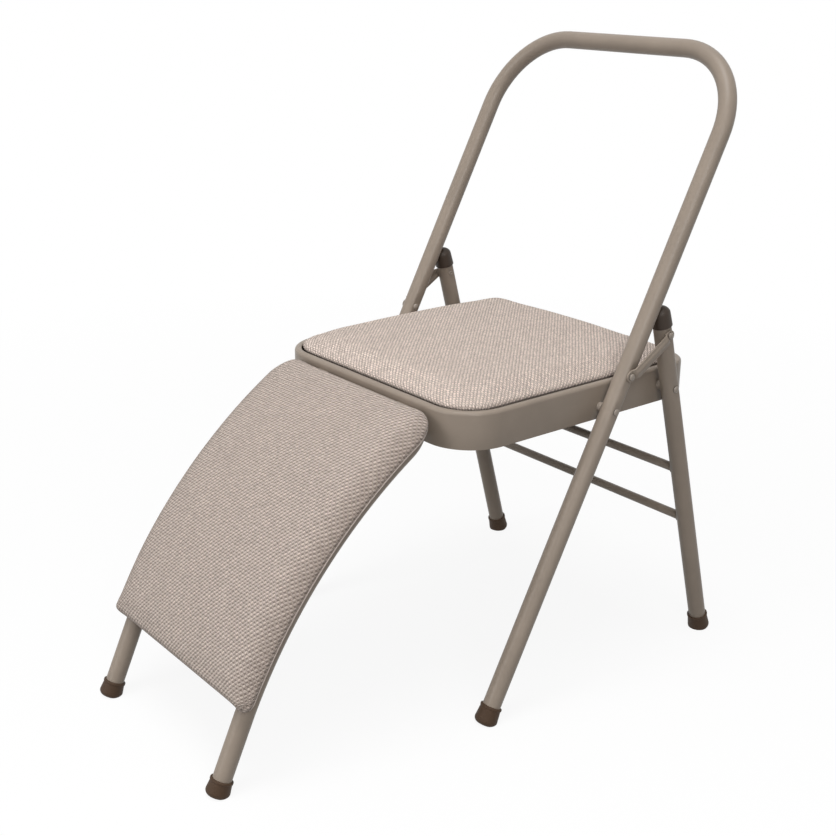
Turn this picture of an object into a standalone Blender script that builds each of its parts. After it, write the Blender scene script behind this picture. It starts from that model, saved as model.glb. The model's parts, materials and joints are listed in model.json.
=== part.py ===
"""Folding yoga chair with a curved, padded extension hooked to the front of its seat.

Metres, +Z up. The chair faces -Y, and +X is the left-hand side of someone sitting on it. The origin is
on the floor, under the middle of the chair's box. Side-view geometry is worked out in the chair's own
axes, whose Y starts at the hoop's feet, and an empty carries everything to the origin above.

The moving groups each hang from an empty on their joint's axis: the seat turns on the hoop, the rear legs
turn on the seat, the links turn on the rear legs, and the extension turns in its hooks.
"""

from math import asin, cos, hypot, pi, radians, sin, sqrt

import bmesh
import bpy
from mathutils import Vector

# Clearances
GAP = 0.0003                    # between pieces that touch
PIN_CLEARANCE = 0.0004          # round a rivet that turns in its hole

# Steel tube
TUBE_DIAMETER = 0.025
TUBE_WALL = 0.0012
RUNG_DIAMETER = 0.0127
RUNG_WALL = 0.0010

# Hoop: both front legs and the back in one bent tube
HOOP_LENGTH = 0.9555            # from the floor to the top bar's centre, along the lean
HOOP_LEAN = radians(27.85)      # from upright, backwards
HOOP_BEND_RADIUS = 0.115
SEAT_PIVOT_UP_HOOP = 0.4490     # from the floor, along the leg
LINK_PIVOT_SPACING = 0.0505     # seat pivot to link pivot, up the hoop

# Rear legs
REAR_LEAN = radians(14.88)      # from upright, forwards
SEAT_PIVOT_SPACING = 0.1165     # hoop pivot to rear leg pivot on the seat, level
SEAT_PIVOT_RISE = 0.0083        # how much higher the rear one is
LINK_PIVOT_UP_LEG = 0.0835      # above the seat pivot, along the rear leg
LEG_PAST_LINK = 0.0165          # tube above the link pivot
LEG_OUTSET = 0.0007             # how much further out the rear legs stand than the hoop's
RUNG_DROPS = (0.1351, 0.2193)   # below the seat pivot, along the rear leg

# Flattened seats for the rivets
FLAT_DEPTH = 0.0015
FLAT_LENGTH = 0.018
LINK_FLAT_LENGTH = 0.036
FLAT_FADE = 0.006

# Rivets
RIVET_RADIUS = 0.0031
RIVET_HEAD_RADIUS = 0.0050
RIVET_HEAD_HEIGHT = 0.0026
SPACER_RADIUS = 0.0072
SPACER_LENGTH = 0.0069          # between the pan and the hoop

# Links: pressed steel straps
LINK_WIDTH = 0.0150
LINK_THICKNESS = 0.0022
LINK_RIB_WIDTH = 0.0060
LINK_RIB_TOP = 0.0024
LINK_RIB_HEIGHT = 0.0012
LINK_BLUNT = 0.0006             # half width of its very ends
LINK_SEAT = 0.0053              # flat past a pivot, before the step out
LINK_STEP_LENGTH = 0.0035

# Boots on the rear legs' top ends
BOOT_WALL = 0.0015
BOOT_SKIRT = 0.0045             # below the tube's end, clear of the link
BOOT_RISE = 0.0245              # above the tube's end
BOOT_DOME = 0.0107
BOOT_TAPER = 0.0008

# Rubber tips
TIP_SOCKET_DEPTH = 0.0145
TIP_TOP_RADIUS = 0.0142
TIP_COLLAR_RADIUS = 0.0150
TIP_COLLAR_HEIGHT = 0.0030
TIP_COLLAR_EDGE = 0.0006
TIP_SOLE_RADIUS = 0.0158
TIP_SOLE_THICKNESS = 0.0125
TIP_SOLE_ROUND = 0.0070
TIP_PAST_FLOOR = 0.0020         # sole's centre below the floor before it is cut flat

# Seat pan: one pressing with a rolled rim and a deep skirt
PAN_HALF_WIDTH = 0.2098
PAN_FRONT = 0.2398              # ahead of the hoop pivot
PAN_REAR = 0.1890               # behind it
PAN_TOP = 0.0336                # rim above it
PAN_DEPTH = 0.0520              # rim to hem
PAN_SHEET = 0.0012
PAN_FRONT_RADIUS = 0.066
PAN_REAR_RADIUS = 0.045
PAN_RIM_WIDTH = 0.0105
PAN_RIM_RADIUS = 0.0050
PAN_RECESS = 0.0140
PAN_RECESS_RADIUS = 0.0030
PAN_HEM = 0.0075
PAN_FIELD_INSET = 0.060
PAN_FIELD_RISE = 0.0025
PAN_FIELD_SLOPE = 0.0040
PAN_LEAST_RADIUS = 0.0040       # of an inset corner
PAN_CORNER_STEPS = 6

# Side plates that stiffen the pan round its pivots
PLATE_THICKNESS = 0.0025
PLATE_MARGIN = 0.016

# Seat cushion on its board
SEAT_BOARD_THICKNESS = 0.0060
SEAT_BOARD_INSET = 0.0200
BOARD_CHAMFER = 0.0010
SEAT_CUSHION_INSET = 0.0140     # from the pan's outside
SEAT_CUSHION_SIDE = 0.0030      # the widest line of the cushion, above the rim
SEAT_CUSHION_EDGE = 0.0125      # soft edge above that line
SEAT_CUSHION_CROWN = 0.0060     # further rise to the middle
SEAT_CUSHION_ROUND = 0.034
SEAT_CUSHION_DRAWN = 0.0020     # how far the sides pull in between the corners
CUSHION_LEAST_RADIUS = 0.0020   # of an inset corner

# Extension: inverted U of tube under a curved board
EXT_HALF_WIDTH = 0.1451
EXT_BAR_DROP = 0.0361           # rim to the top bar's centre
EXT_TOP_SLOPE = radians(31.0)   # of the arc at the top bar
EXT_ARC_RADIUS = 0.7020
EXT_LEG_SLOPE = radians(65.3)   # of the straight legs
EXT_BEND_RADIUS = 0.038

# Hooks that carry the top bar
HOOK_THICKNESS = 0.0020
HOOK_WIDTH = 0.022
HOOK_SPACING = 0.180
HOOK_CLEARANCE = 0.0004
HOOK_LIP = 0.0020
HOOK_FLANGE = 0.0255            # above the bar's centre
HOOK_RELIEF = 0.0010            # board cut away round a hook
HOOK_RIVET_UP = 0.0195
HOOK_RIVET_RADIUS = 0.0022
HOOK_RIVET_HEAD = 0.0040
HOOK_RIVET_HEIGHT = 0.0018

# Extension board, and the cushion that wraps its edges
EXT_BOARD_THICKNESS = 0.0060
EXT_BOARD_MARGIN = 0.0050       # cushion past the board all round
EXT_PAD_OVERHANG = 0.0279       # past the tubes' centres
EXT_PAD_BOTTOM = 0.0180         # pad's lower end past the start of the arc
EXT_PAD_TOP_GAP = 0.0090        # pad's upper end to the pan's skirt
EXT_PAD_SIDE = 0.0050           # widest line above the cushion's underside
EXT_PAD_EDGE = 0.0100
EXT_PAD_CROWN = 0.0040
EXT_PAD_ROUND = 0.016
EXT_PAD_DRAWN = 0.0015
EXT_TOP_CORNER = 0.044
EXT_BOTTOM_CORNER = 0.016

# Screws
SCREW_RADIUS = 0.0020
SCREW_HEAD_RADIUS = 0.0042
SCREW_HEAD_HEIGHT = 0.0018
SCREW_BITE = 0.0035             # thread in a board
SEAT_SCREW_INSET = 0.045        # from the pan's outside
EXT_SCREW_PLACES = {"lower": 0.22, "upper": 0.78}  # along the pad, as shares of its length

# Facets
TUBE_SIDES = 16
RUNG_SIDES = 12
PIN_SIDES = 12
SCREW_SIDES = 12
BEND_STEPS = 6
ARC_STEPS = 10

# Finishes: colour, roughness, metallic
FINISHES = {
    "paint": ((0.258, 0.216, 0.181), 0.38, 0.20),
    "plated": ((0.300, 0.262, 0.226), 0.32, 0.60),
    "rubber": ((0.064, 0.039, 0.024), 0.62, 0.0),
    "moulding": ((0.070, 0.044, 0.028), 0.50, 0.0),
    "board": ((0.330, 0.230, 0.140), 0.70, 0.0),
    "fabric": ((0.545, 0.457, 0.400), 0.90, 0.0),
    "zinc": ((0.560, 0.560, 0.550), 0.35, 0.9),
}

TUBE_RADIUS = TUBE_DIAMETER / 2
LINK_PIVOT_UP_HOOP = SEAT_PIVOT_UP_HOOP + LINK_PIVOT_SPACING
HOOP_HALF_WIDTH = PAN_HALF_WIDTH + GAP + SPACER_LENGTH + GAP + TUBE_RADIUS - FLAT_DEPTH
REAR_HALF_WIDTH = HOOP_HALF_WIDTH + LEG_OUTSET
EXT_PAD_HALF_WIDTH = EXT_HALF_WIDTH + EXT_PAD_OVERHANG
SIDES = {"left": 1, "right": -1}


def side_view(direction, distance, start=(0.0, 0.0)):
    """A point (y, z) at a distance from start along a side-view direction."""
    return Vector((start[0] + direction[0] * distance, start[1] + direction[1] * distance))


# Side-view directions and pivots
UP_HOOP = (sin(HOOP_LEAN), cos(HOOP_LEAN))
UP_LEG = (-sin(REAR_LEAN), cos(REAR_LEAN))
SEAT_PIVOT = side_view(UP_HOOP, SEAT_PIVOT_UP_HOOP)
LINK_FRONT = side_view(UP_HOOP, LINK_PIVOT_UP_HOOP)
LEG_PIVOT = SEAT_PIVOT + Vector((SEAT_PIVOT_SPACING, SEAT_PIVOT_RISE))
LINK_REAR = side_view(UP_LEG, LINK_PIVOT_UP_LEG, LEG_PIVOT)
LEG_DOWN = LEG_PIVOT.y / UP_LEG[1]          # pivot to the floor, along the leg
REAR_FOOT = side_view(UP_LEG, -LEG_DOWN, LEG_PIVOT)

# Seat levels
RIM = SEAT_PIVOT.y + PAN_TOP
PAN_FRONT_Y = SEAT_PIVOT.x - PAN_FRONT
PAN_REAR_Y = SEAT_PIVOT.x + PAN_REAR
PAN_FLOOR = RIM - PAN_RECESS

# Extension in side view: the top bar, the arc's centre, the straight leg and the foot
EXT_BAR_AHEAD = GAP + HOOK_THICKNESS + HOOK_CLEARANCE + TUBE_RADIUS
EXT_BAR = Vector((PAN_FRONT_Y - EXT_BAR_AHEAD, RIM - EXT_BAR_DROP))
ARC_CENTRE = EXT_BAR + EXT_ARC_RADIUS * Vector((sin(EXT_TOP_SLOPE), -cos(EXT_TOP_SLOPE)))
ARC_START = ARC_CENTRE + EXT_ARC_RADIUS * Vector((-sin(EXT_LEG_SLOPE), cos(EXT_LEG_SLOPE)))
ARC_LENGTH = EXT_ARC_RADIUS * (EXT_LEG_SLOPE - EXT_TOP_SLOPE)
UP_EXT = (cos(EXT_LEG_SLOPE), sin(EXT_LEG_SLOPE))
EXT_LEG = ARC_START.y / UP_EXT[1]
EXT_FOOT = side_view(UP_EXT, -EXT_LEG, ARC_START)

# The chair's reach, and the shift that puts the origin in the middle of it
REACH_BACK = HOOP_LENGTH * UP_HOOP[0] + TUBE_RADIUS
REACH_FRONT = EXT_FOOT.x - TIP_SOLE_RADIUS * UP_EXT[1] + (TIP_SOLE_ROUND - TIP_PAST_FLOOR) * UP_EXT[0]
CENTRE_Y = (REACH_BACK + REACH_FRONT) / 2

# Planes that the links and rivets lie in, from the middle plane
HOOP_FLAT = HOOP_HALF_WIDTH + TUBE_RADIUS - FLAT_DEPTH
LEG_FLAT = REAR_HALF_WIDTH + TUBE_RADIUS - FLAT_DEPTH
LINK_PLANE = REAR_HALF_WIDTH + TUBE_RADIUS + GAP + BOOT_WALL + GAP     # clears the boots

GROUPS = {
    "hoop": (0.0, 0.0),
    "seat": tuple(SEAT_PIVOT),
    "rear_legs": tuple(LEG_PIVOT),
    "links": tuple(LINK_REAR),
    "extension": tuple(EXT_BAR),
}


def clear_scene():
    for thing in list(bpy.data.objects):
        bpy.data.objects.remove(thing)


def make_groups():
    """One empty carries the chair to its origin, and one stands on each moving group's joint axis."""
    origin = bpy.data.objects.new("chair_axes", None)
    origin.location = (0.0, -CENTRE_Y, 0.0)
    bpy.context.collection.objects.link(origin)
    for name, (y, z) in GROUPS.items():
        empty = bpy.data.objects.new(name + "_axis", None)
        empty.location = (0.0, y, z)
        empty.parent = origin
        bpy.context.collection.objects.link(empty)


def finish_material(name, finish):
    colour, roughness, metallic = FINISHES[finish]
    material = bpy.data.materials.new(name + "_" + finish)
    material.use_nodes = True
    shader = material.node_tree.nodes["Principled BSDF"]
    shader.inputs["Base Color"].default_value = (*colour, 1.0)
    shader.inputs["Roughness"].default_value = roughness
    shader.inputs["Metallic"].default_value = metallic
    return material


def add_piece(name, shape, finish, group):
    """Turns a closed bmesh in the chair's axes into a named object under its group's empty."""
    y, z = GROUPS[group]
    bmesh.ops.recalc_face_normals(shape, faces=shape.faces)
    bmesh.ops.translate(shape, verts=shape.verts, vec=(0.0, -y, -z))
    mesh = bpy.data.meshes.new(name)
    shape.to_mesh(mesh)
    shape.free()
    mesh.shade_smooth()
    mesh.set_sharp_from_angle(angle=radians(35))
    piece = bpy.data.objects.new(name, mesh)
    piece.parent = bpy.data.objects[group + "_axis"]
    if finish:
        mesh.materials.append(finish_material(name, finish))
    bpy.context.collection.objects.link(piece)
    return piece


def cut(piece, cutter_shape, label, group):
    """Subtracts a shape from a piece with a live Boolean, and hides the cutter."""
    cutter = add_piece("cutter_" + piece.name + "_" + label, cutter_shape, None, group)
    cutter.hide_render = True
    cutter.display_type = "WIRE"
    modifier = piece.modifiers.new(label, "BOOLEAN")
    modifier.operation = "DIFFERENCE"
    modifier.solver = "EXACT"
    modifier.object = cutter


def loft(rings, shape=None, round_trip=False):
    """Skins a list of equal rings. The ends are capped, or joined to each other on a round trip."""
    shape = shape or bmesh.new()
    loops = [[shape.verts.new(point) for point in ring] for ring in rings]
    pairs = list(zip(loops, loops[1:]))
    if round_trip:
        pairs.append((loops[-1], loops[0]))
    for near, far in pairs:
        for i in range(len(near)):
            j = (i + 1) % len(near)
            shape.faces.new((near[i], near[j], far[j], far[i]))
    if not round_trip:
        shape.faces.new(list(reversed(loops[0])))
        shape.faces.new(loops[-1])
    return shape


def circle(centre, across, up, radius, sides, flat_in=0.0, flat_out=0.0):
    """A ring of points. The flats clamp it on either side of its across direction."""
    ring = []
    for k in range(sides):
        angle = 2 * pi * (k + 0.5) / sides
        a = min(max(radius * cos(angle), -radius + flat_in), radius - flat_out)
        ring.append(centre + a * across + radius * sin(angle) * up)
    return ring


def flat_share(distance, places, length):
    """1 on a flattened seat, 0 clear of it, and a ramp between."""
    best = 0.0
    for place in places:
        past = abs(distance - place) - length / 2
        best = max(best, min(1.0, max(0.0, 1 - past / FLAT_FADE)))
    return best


def flat_stations(places, length):
    stations = []
    for place in places:
        for step in (length / 2, length / 2 + FLAT_FADE):
            stations += [place - step, place + step]
    return stations


def hollow_tube(path, radius, wall, sides, first_up):
    """Sweeps a tube with open ends along (point, depth of flat inside, depth of flat outside) stations."""
    points = [Vector(station[0]) for station in path]
    tangents = []
    for k in range(len(points)):
        ahead = points[min(k + 1, len(points) - 1)] - points[k]
        behind = points[k] - points[max(k - 1, 0)]
        tangents.append((ahead.normalized() + behind.normalized()).normalized())
    outer, inner = [], []
    up = Vector(first_up)
    for k, (point, tangent) in enumerate(zip(points, tangents)):
        if k:
            up = tangents[k - 1].rotation_difference(tangent) @ up
        up = (up - up.dot(tangent) * tangent).normalized()
        across = tangent.cross(up)
        flat_in, flat_out = path[k][1], path[k][2]
        outer.append(circle(point, across, up, radius, sides, flat_in, flat_out))
        inner.append(circle(point, across, up, radius - wall, sides, flat_in, flat_out))
    return loft(outer + list(reversed(inner)), round_trip=True)


def rod(start, end, radius, sides=PIN_SIDES, first_up=(0, 0, 1)):
    """A plain closed cylinder between two points."""
    axis = (Vector(end) - Vector(start)).normalized()
    up = Vector(first_up)
    up = (up - up.dot(axis) * axis).normalized()
    across = axis.cross(up)
    return loft([circle(Vector(p), across, up, radius, sides) for p in (start, end)])


def turned(profile, base, axis, sides, shape=None):
    """Revolves (distance along the axis, radius) points. The first and last lie on the axis."""
    shape = shape or bmesh.new()
    axis = Vector(axis).normalized()
    up = Vector((0, 0, 1)) if abs(axis.z) < 0.9 else Vector((0, 1, 0))
    up = (up - up.dot(axis) * axis).normalized()
    across = axis.cross(up)
    first = shape.verts.new(Vector(base) + profile[0][0] * axis)
    last = shape.verts.new(Vector(base) + profile[-1][0] * axis)
    loops = []
    for along, radius in profile[1:-1]:
        ring = circle(Vector(base) + along * axis, across, up, radius, sides)
        loops.append([shape.verts.new(point) for point in ring])
    for near, far in zip(loops, loops[1:]):
        for i in range(sides):
            j = (i + 1) % sides
            shape.faces.new((near[i], near[j], far[j], far[i]))
    for i in range(sides):
        j = (i + 1) % sides
        shape.faces.new((first, loops[0][j], loops[0][i]))
        shape.faces.new((last, loops[-1][i], loops[-1][j]))
    return shape


def dome(start, height, radius, sign, steps=3):
    """Points of a low rivet head that rises from start along the axis, in the direction of sign."""
    points = [(start, radius)]
    for k in range(1, steps):
        angle = k * pi / 2 / steps
        points.append((start + sign * height * sin(angle), radius * cos(angle)))
    points.append((start + sign * height, 0.0))
    return points


def rivet_shape(outer, inner, shape=None, point=(0, 0), hand=1):
    """A rivet across the chair with a head past each face. outer and inner are distances from the middle
    plane, and hand is 1 on the left and -1 on the right."""
    out_head = dome(outer + GAP, RIVET_HEAD_HEIGHT, RIVET_HEAD_RADIUS, 1)
    in_head = dome(inner - GAP, RIVET_HEAD_HEIGHT, RIVET_HEAD_RADIUS, -1)
    shank = [(outer + GAP, RIVET_RADIUS), (inner - GAP, RIVET_RADIUS)]
    profile = list(reversed(out_head)) + shank + in_head
    return turned(profile, (0, point[0], point[1]), (hand, 0, 0), PIN_SIDES, shape)


def pin_hole(point, radius=RIVET_RADIUS + PIN_CLEARANCE):
    """A cutter right across the chair at a side-view point."""
    reach = HOOP_HALF_WIDTH + REAR_HALF_WIDTH
    return rod((-reach, *point), (reach, *point), radius)


def collar(point, inner, outer, hand):
    """A turned bush round a rivet, between two planes."""
    bore = RIVET_RADIUS + PIN_CLEARANCE
    rings = []
    for x, radius in ((inner, bore), (outer, bore), (outer, SPACER_RADIUS), (inner, SPACER_RADIUS)):
        centre = Vector((hand * x, *point))
        rings.append(circle(centre, Vector((0, 1, 0)), Vector((0, 0, 1)), radius, PIN_SIDES))
    return loft(rings, round_trip=True)


def up_hoop(distance, x, behind=0.0):
    """A point on the hoop's plane at a distance up its lean and x across, moved back by behind."""
    y = distance * UP_HOOP[0] + behind * UP_HOOP[1]
    return Vector((x, y, distance * UP_HOOP[1] - behind * UP_HOOP[0]))


def up_leg(distance, x):
    """A point x across at a distance up the rear leg from its pivot."""
    return Vector((x, *side_view(UP_LEG, distance, LEG_PIVOT)))


def tip_shape(axis_down, floor_point):
    """A moulded rubber tip: a socket for the tube, a collar at its mouth, and a sole that flares out.
    Distances run down the leg from the floor point."""
    sole = TIP_PAST_FLOOR
    floor_of_socket = sole - TIP_SOLE_THICKNESS
    mouth = floor_of_socket - TIP_SOCKET_DEPTH
    bore = TUBE_RADIUS + GAP
    profile = [(floor_of_socket, 0.0), (floor_of_socket, bore), (mouth, bore)]
    profile += [(mouth, TIP_COLLAR_RADIUS - TIP_COLLAR_EDGE), (mouth + TIP_COLLAR_EDGE, TIP_COLLAR_RADIUS)]
    step = mouth + TIP_COLLAR_HEIGHT
    profile += [(step, TIP_COLLAR_RADIUS), (step + TIP_COLLAR_RADIUS - TIP_TOP_RADIUS, TIP_TOP_RADIUS)]
    for k in range(4):
        angle = k * pi / 6
        inward = TIP_SOLE_ROUND * (1 - cos(angle))
        profile.append((sole - TIP_SOLE_ROUND * (1 - sin(angle)), TIP_SOLE_RADIUS - inward))
    profile.append((sole, 0.0))
    return turned(profile, floor_point, axis_down, TUBE_SIDES)


def add_tip(name, axis_down, floor_point, group):
    piece = add_piece(name, tip_shape(axis_down, floor_point), "rubber", group)
    wide = 2 * TIP_SOLE_THICKNESS + TIP_SOLE_RADIUS
    x, y, z = floor_point
    square = ((x - wide, y - wide), (x + wide, y - wide), (x + wide, y + wide), (x - wide, y + wide))
    floor = loft([[Vector((a, b, height)) for a, b in square] for height in (z - wide, z)])
    cut(piece, floor, "floor", group)


def tube_end():
    """Where a leg's tube stops inside its tip, above the floor point along the leg."""
    return TIP_SOLE_THICKNESS - TIP_PAST_FLOOR + GAP


def make_hoop():
    """One tube: up the left leg, across the top and down the right one, flattened where rivets sit."""
    seats = ((SEAT_PIVOT_UP_HOOP, FLAT_LENGTH), (LINK_PIVOT_UP_HOOP, LINK_FLAT_LENGTH))
    stations = [tube_end()]
    for place, length in seats:
        stations += flat_stations([place], length)
    stations = sorted(stations) + [HOOP_LENGTH - HOOP_BEND_RADIUS]
    leg = []
    for distance in stations:
        share = max(flat_share(distance, [place], length) for place, length in seats)
        leg.append((distance, share * FLAT_DEPTH))
    path = [(up_hoop(d, HOOP_HALF_WIDTH), flat, flat) for d, flat in leg]
    centre_x = HOOP_HALF_WIDTH - HOOP_BEND_RADIUS
    centre_up = HOOP_LENGTH - HOOP_BEND_RADIUS
    quarter = []
    for k in range(1, BEND_STEPS + 1):
        angle = k * pi / 2 / BEND_STEPS
        quarter.append((centre_up + HOOP_BEND_RADIUS * sin(angle), centre_x + HOOP_BEND_RADIUS * cos(angle)))
    path += [(up_hoop(up, x), 0.0, 0.0) for up, x in quarter]
    path += [(Vector((-point.x, point.y, point.z)), a, b) for point, a, b in reversed(path)]
    behind = (0, UP_HOOP[1], -UP_HOOP[0])
    tube = hollow_tube(path, TUBE_RADIUS, TUBE_WALL, TUBE_SIDES, behind)
    hoop = add_piece("hoop_tube", tube, "paint", "hoop")
    cut(hoop, pin_hole(SEAT_PIVOT), "seat_pivot", "hoop")
    cut(hoop, pin_hole(LINK_FRONT), "link_pivot", "hoop")

    inner_flat = HOOP_HALF_WIDTH - TUBE_RADIUS + FLAT_DEPTH
    plate_inside = PAN_HALF_WIDTH - PAN_SHEET - GAP - PLATE_THICKNESS
    for side, hand in SIDES.items():
        rivet = rivet_shape(HOOP_FLAT, plate_inside, point=SEAT_PIVOT, hand=hand)
        add_piece("seat_pivot_rivet_" + side, rivet, "plated", "hoop")
        bush = collar(SEAT_PIVOT, PAN_HALF_WIDTH + GAP, inner_flat - GAP, hand)
        add_piece("seat_pivot_spacer_" + side, bush, "plated", "hoop")
        # The link's own rivet stops at the link, so this pin fills the hoop from just inside its outer face.
        profile = [(HOOP_FLAT, 0.0), (HOOP_FLAT, RIVET_RADIUS), (inner_flat - GAP, RIVET_RADIUS)]
        profile += dome(inner_flat - GAP, RIVET_HEAD_HEIGHT, RIVET_HEAD_RADIUS, -1)
        pin = turned(profile, (0, *LINK_FRONT), (hand, 0, 0), PIN_SIDES)
        add_piece("link_pin_" + side, pin, "plated", "hoop")
        down = (0, -UP_HOOP[0], -UP_HOOP[1])
        add_tip("hoop_tip_" + side, down, (hand * HOOP_HALF_WIDTH, 0, 0), "hoop")


def make_rear_legs():
    inner_flat = REAR_HALF_WIDTH - TUBE_RADIUS + FLAT_DEPTH
    plate_inside = PAN_HALF_WIDTH - PAN_SHEET - GAP - PLATE_THICKNESS
    top = LINK_PIVOT_UP_LEG + LEG_PAST_LINK
    behind = (0, UP_LEG[1], -UP_LEG[0])
    for side, hand in SIDES.items():
        x = hand * REAR_HALF_WIDTH
        stations = [tube_end() - LEG_DOWN] + flat_stations([0.0], FLAT_LENGTH)
        stations += flat_stations([LINK_PIVOT_UP_LEG], LINK_FLAT_LENGTH)
        path = []
        for distance in sorted(place for place in stations if place < top) + [top]:
            lower = flat_share(distance, [0.0], FLAT_LENGTH)
            share = max(lower, flat_share(distance, [LINK_PIVOT_UP_LEG], LINK_FLAT_LENGTH))
            path.append((up_leg(distance, x), share * FLAT_DEPTH, share * FLAT_DEPTH))
        tube = hollow_tube(path, TUBE_RADIUS, TUBE_WALL, TUBE_SIDES, behind)
        leg = add_piece("rear_leg_" + side, tube, "paint", "rear_legs")
        cut(leg, pin_hole(LEG_PIVOT), "seat_pivot", "rear_legs")
        cut(leg, pin_hole(LINK_REAR), "link_pivot", "rear_legs")

        rivet = rivet_shape(LEG_FLAT, plate_inside, point=LEG_PIVOT, hand=hand)
        add_piece("leg_pivot_rivet_" + side, rivet, "plated", "rear_legs")
        bush = collar(LEG_PIVOT, PAN_HALF_WIDTH + GAP, inner_flat - GAP, hand)
        add_piece("leg_pivot_spacer_" + side, bush, "plated", "rear_legs")
        rivet = rivet_shape(LEG_FLAT + GAP + LINK_THICKNESS, inner_flat, point=LINK_REAR, hand=hand)
        add_piece("link_rivet_rear_" + side, rivet, "plated", "rear_legs")
        down = (0, -UP_LEG[0], -UP_LEG[1])
        add_tip("rear_tip_" + side, down, (hand * REAR_HALF_WIDTH, *REAR_FOOT), "rear_legs")
        make_boot(side, up_leg(top, x), hand)

    reach = REAR_HALF_WIDTH - TUBE_RADIUS / 2
    for label, drop in zip(("upper_rung", "lower_rung"), RUNG_DROPS):
        path = [(up_leg(-drop, x), 0, 0) for x in (-reach, reach)]
        tube = hollow_tube(path, RUNG_DIAMETER / 2, RUNG_WALL, RUNG_SIDES, (0, 0, 1))
        rung = add_piece(label, tube, "paint", "rear_legs")
        for side, hand in SIDES.items():
            x = hand * REAR_HALF_WIDTH
            past = 2 * RUNG_DIAMETER
            ends = [up_leg(-drop + step, x) for step in (-past, past)]
            cut(rung, rod(*ends, TUBE_RADIUS + GAP, 2 * TUBE_SIDES), "leg_" + side, "rear_legs")


def make_boot(side, tube_top, hand):
    """A moulded boot on the rear leg's top end, scooped in front so that it bears on the hoop."""
    bore = TUBE_RADIUS + GAP
    outside = bore + BOOT_WALL
    profile = [(GAP, 0.0), (GAP, bore), (-BOOT_SKIRT, bore), (-BOOT_SKIRT, outside)]
    for k in range(4):
        angle = k * pi / 8
        along = BOOT_RISE - BOOT_DOME * (1 - sin(angle))
        profile.append((along, (outside - BOOT_TAPER) * cos(angle)))
    profile.append((BOOT_RISE, 0.0))
    shape = turned(profile, tube_top, (0, *UP_LEG), TUBE_SIDES)
    boot = add_piece("leg_boot_" + side, shape, "moulding", "rear_legs")
    x = hand * HOOP_HALF_WIDTH
    past = 2 * (BOOT_SKIRT + BOOT_RISE)
    middle = tube_top.y * UP_HOOP[0] + tube_top.z * UP_HOOP[1]
    envelope = rod(up_hoop(middle - past, x), up_hoop(middle + past, x), TUBE_RADIUS + GAP, 2 * TUBE_SIDES)
    cut(boot, envelope, "hoop", "rear_legs")
    half = rod(up_hoop(middle, x, -past), up_hoop(middle, x), past, PIN_SIDES)
    cut(boot, half, "front", "rear_legs")


def link_shape(hand):
    """A pressed strap from the hoop's link pivot to the rear leg's: round ends that lie on the tubes' flats,
    a step out to clear the tubes, and a rib along the middle."""
    start, end = LINK_FRONT, LINK_REAR
    length = (end - start).length
    along = Vector((0, *((end - start) / length)))
    across = Vector((0, -along.z, along.y))
    half = LINK_WIDTH / 2
    seat_front, seat_rear = HOOP_FLAT + GAP, LEG_FLAT + GAP
    round_steps = [half * cos(k * pi / 10) for k in range(0, 6)]
    stations = sorted([-s for s in round_steps] + [LINK_SEAT, LINK_SEAT + LINK_STEP_LENGTH])
    stations = stations + [length - s for s in reversed(stations)]
    rings = []
    for s in stations:
        past = max(-s, s - length, 0.0)
        width = max(sqrt(max(half ** 2 - past ** 2, 0.0)), LINK_BLUNT)
        near = s if s < length / 2 else length - s
        seat = seat_front if s < length / 2 else seat_rear
        lift = min(1.0, max(0.0, (near - LINK_SEAT) / LINK_STEP_LENGTH))
        x = seat + lift * (LINK_PLANE - seat)
        rib = LINK_RIB_HEIGHT * lift
        rib_out, rib_in = min(width * 0.9, LINK_RIB_WIDTH / 2), min(width * 0.5, LINK_RIB_TOP / 2)
        section = [(-width, 0), (-rib_out, 0), (-rib_in, rib), (rib_in, rib), (rib_out, 0), (width, 0)]
        top = [(w, x + LINK_THICKNESS + h) for w, h in section]
        base = [(w, x + h) for w, h in reversed(section)]
        centre = Vector((0, *start)) + s * along
        rings.append([centre + w * across + Vector((hand * q, 0, 0)) for w, q in top + base])
    return loft(rings)


def make_links():
    for side, hand in SIDES.items():
        link = add_piece("link_" + side, link_shape(hand), "paint", "links")
        cut(link, pin_hole(LINK_FRONT), "front_pivot", "links")
        cut(link, pin_hole(LINK_REAR), "rear_pivot", "links")
        face = HOOP_FLAT + GAP + LINK_THICKNESS
        profile = list(reversed(dome(face + GAP, RIVET_HEAD_HEIGHT, RIVET_HEAD_RADIUS, 1)))
        profile += [(face + GAP, RIVET_RADIUS), (HOOP_FLAT + GAP, RIVET_RADIUS), (HOOP_FLAT + GAP, 0.0)]
        rivet = turned(profile, (0, *LINK_FRONT), (hand, 0, 0), PIN_SIDES)
        add_piece("link_rivet_front_" + side, rivet, "plated", "links")


def outline(inset, z):
    """A rounded rectangle in plan, inset from the pan's outside. Corners are arcs."""
    half = PAN_HALF_WIDTH - inset
    low = PAN_FRONT_Y + inset
    high = PAN_REAR_Y - inset
    r_front = max(PAN_FRONT_RADIUS - inset, PAN_LEAST_RADIUS)
    r_rear = max(PAN_REAR_RADIUS - inset, PAN_LEAST_RADIUS)
    corners = ((half - r_front, low + r_front, r_front, -pi / 2), (half - r_rear, high - r_rear, r_rear, 0),
               (-half + r_rear, high - r_rear, r_rear, pi / 2), (-half + r_front, low + r_front, r_front, pi))
    ring = []
    for x, y, radius, start in corners:
        for k in range(PAN_CORNER_STEPS + 1):
            angle = start + k * pi / 2 / PAN_CORNER_STEPS
            ring.append(Vector((x + radius * cos(angle), y + radius * sin(angle), z)))
    return ring


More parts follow.
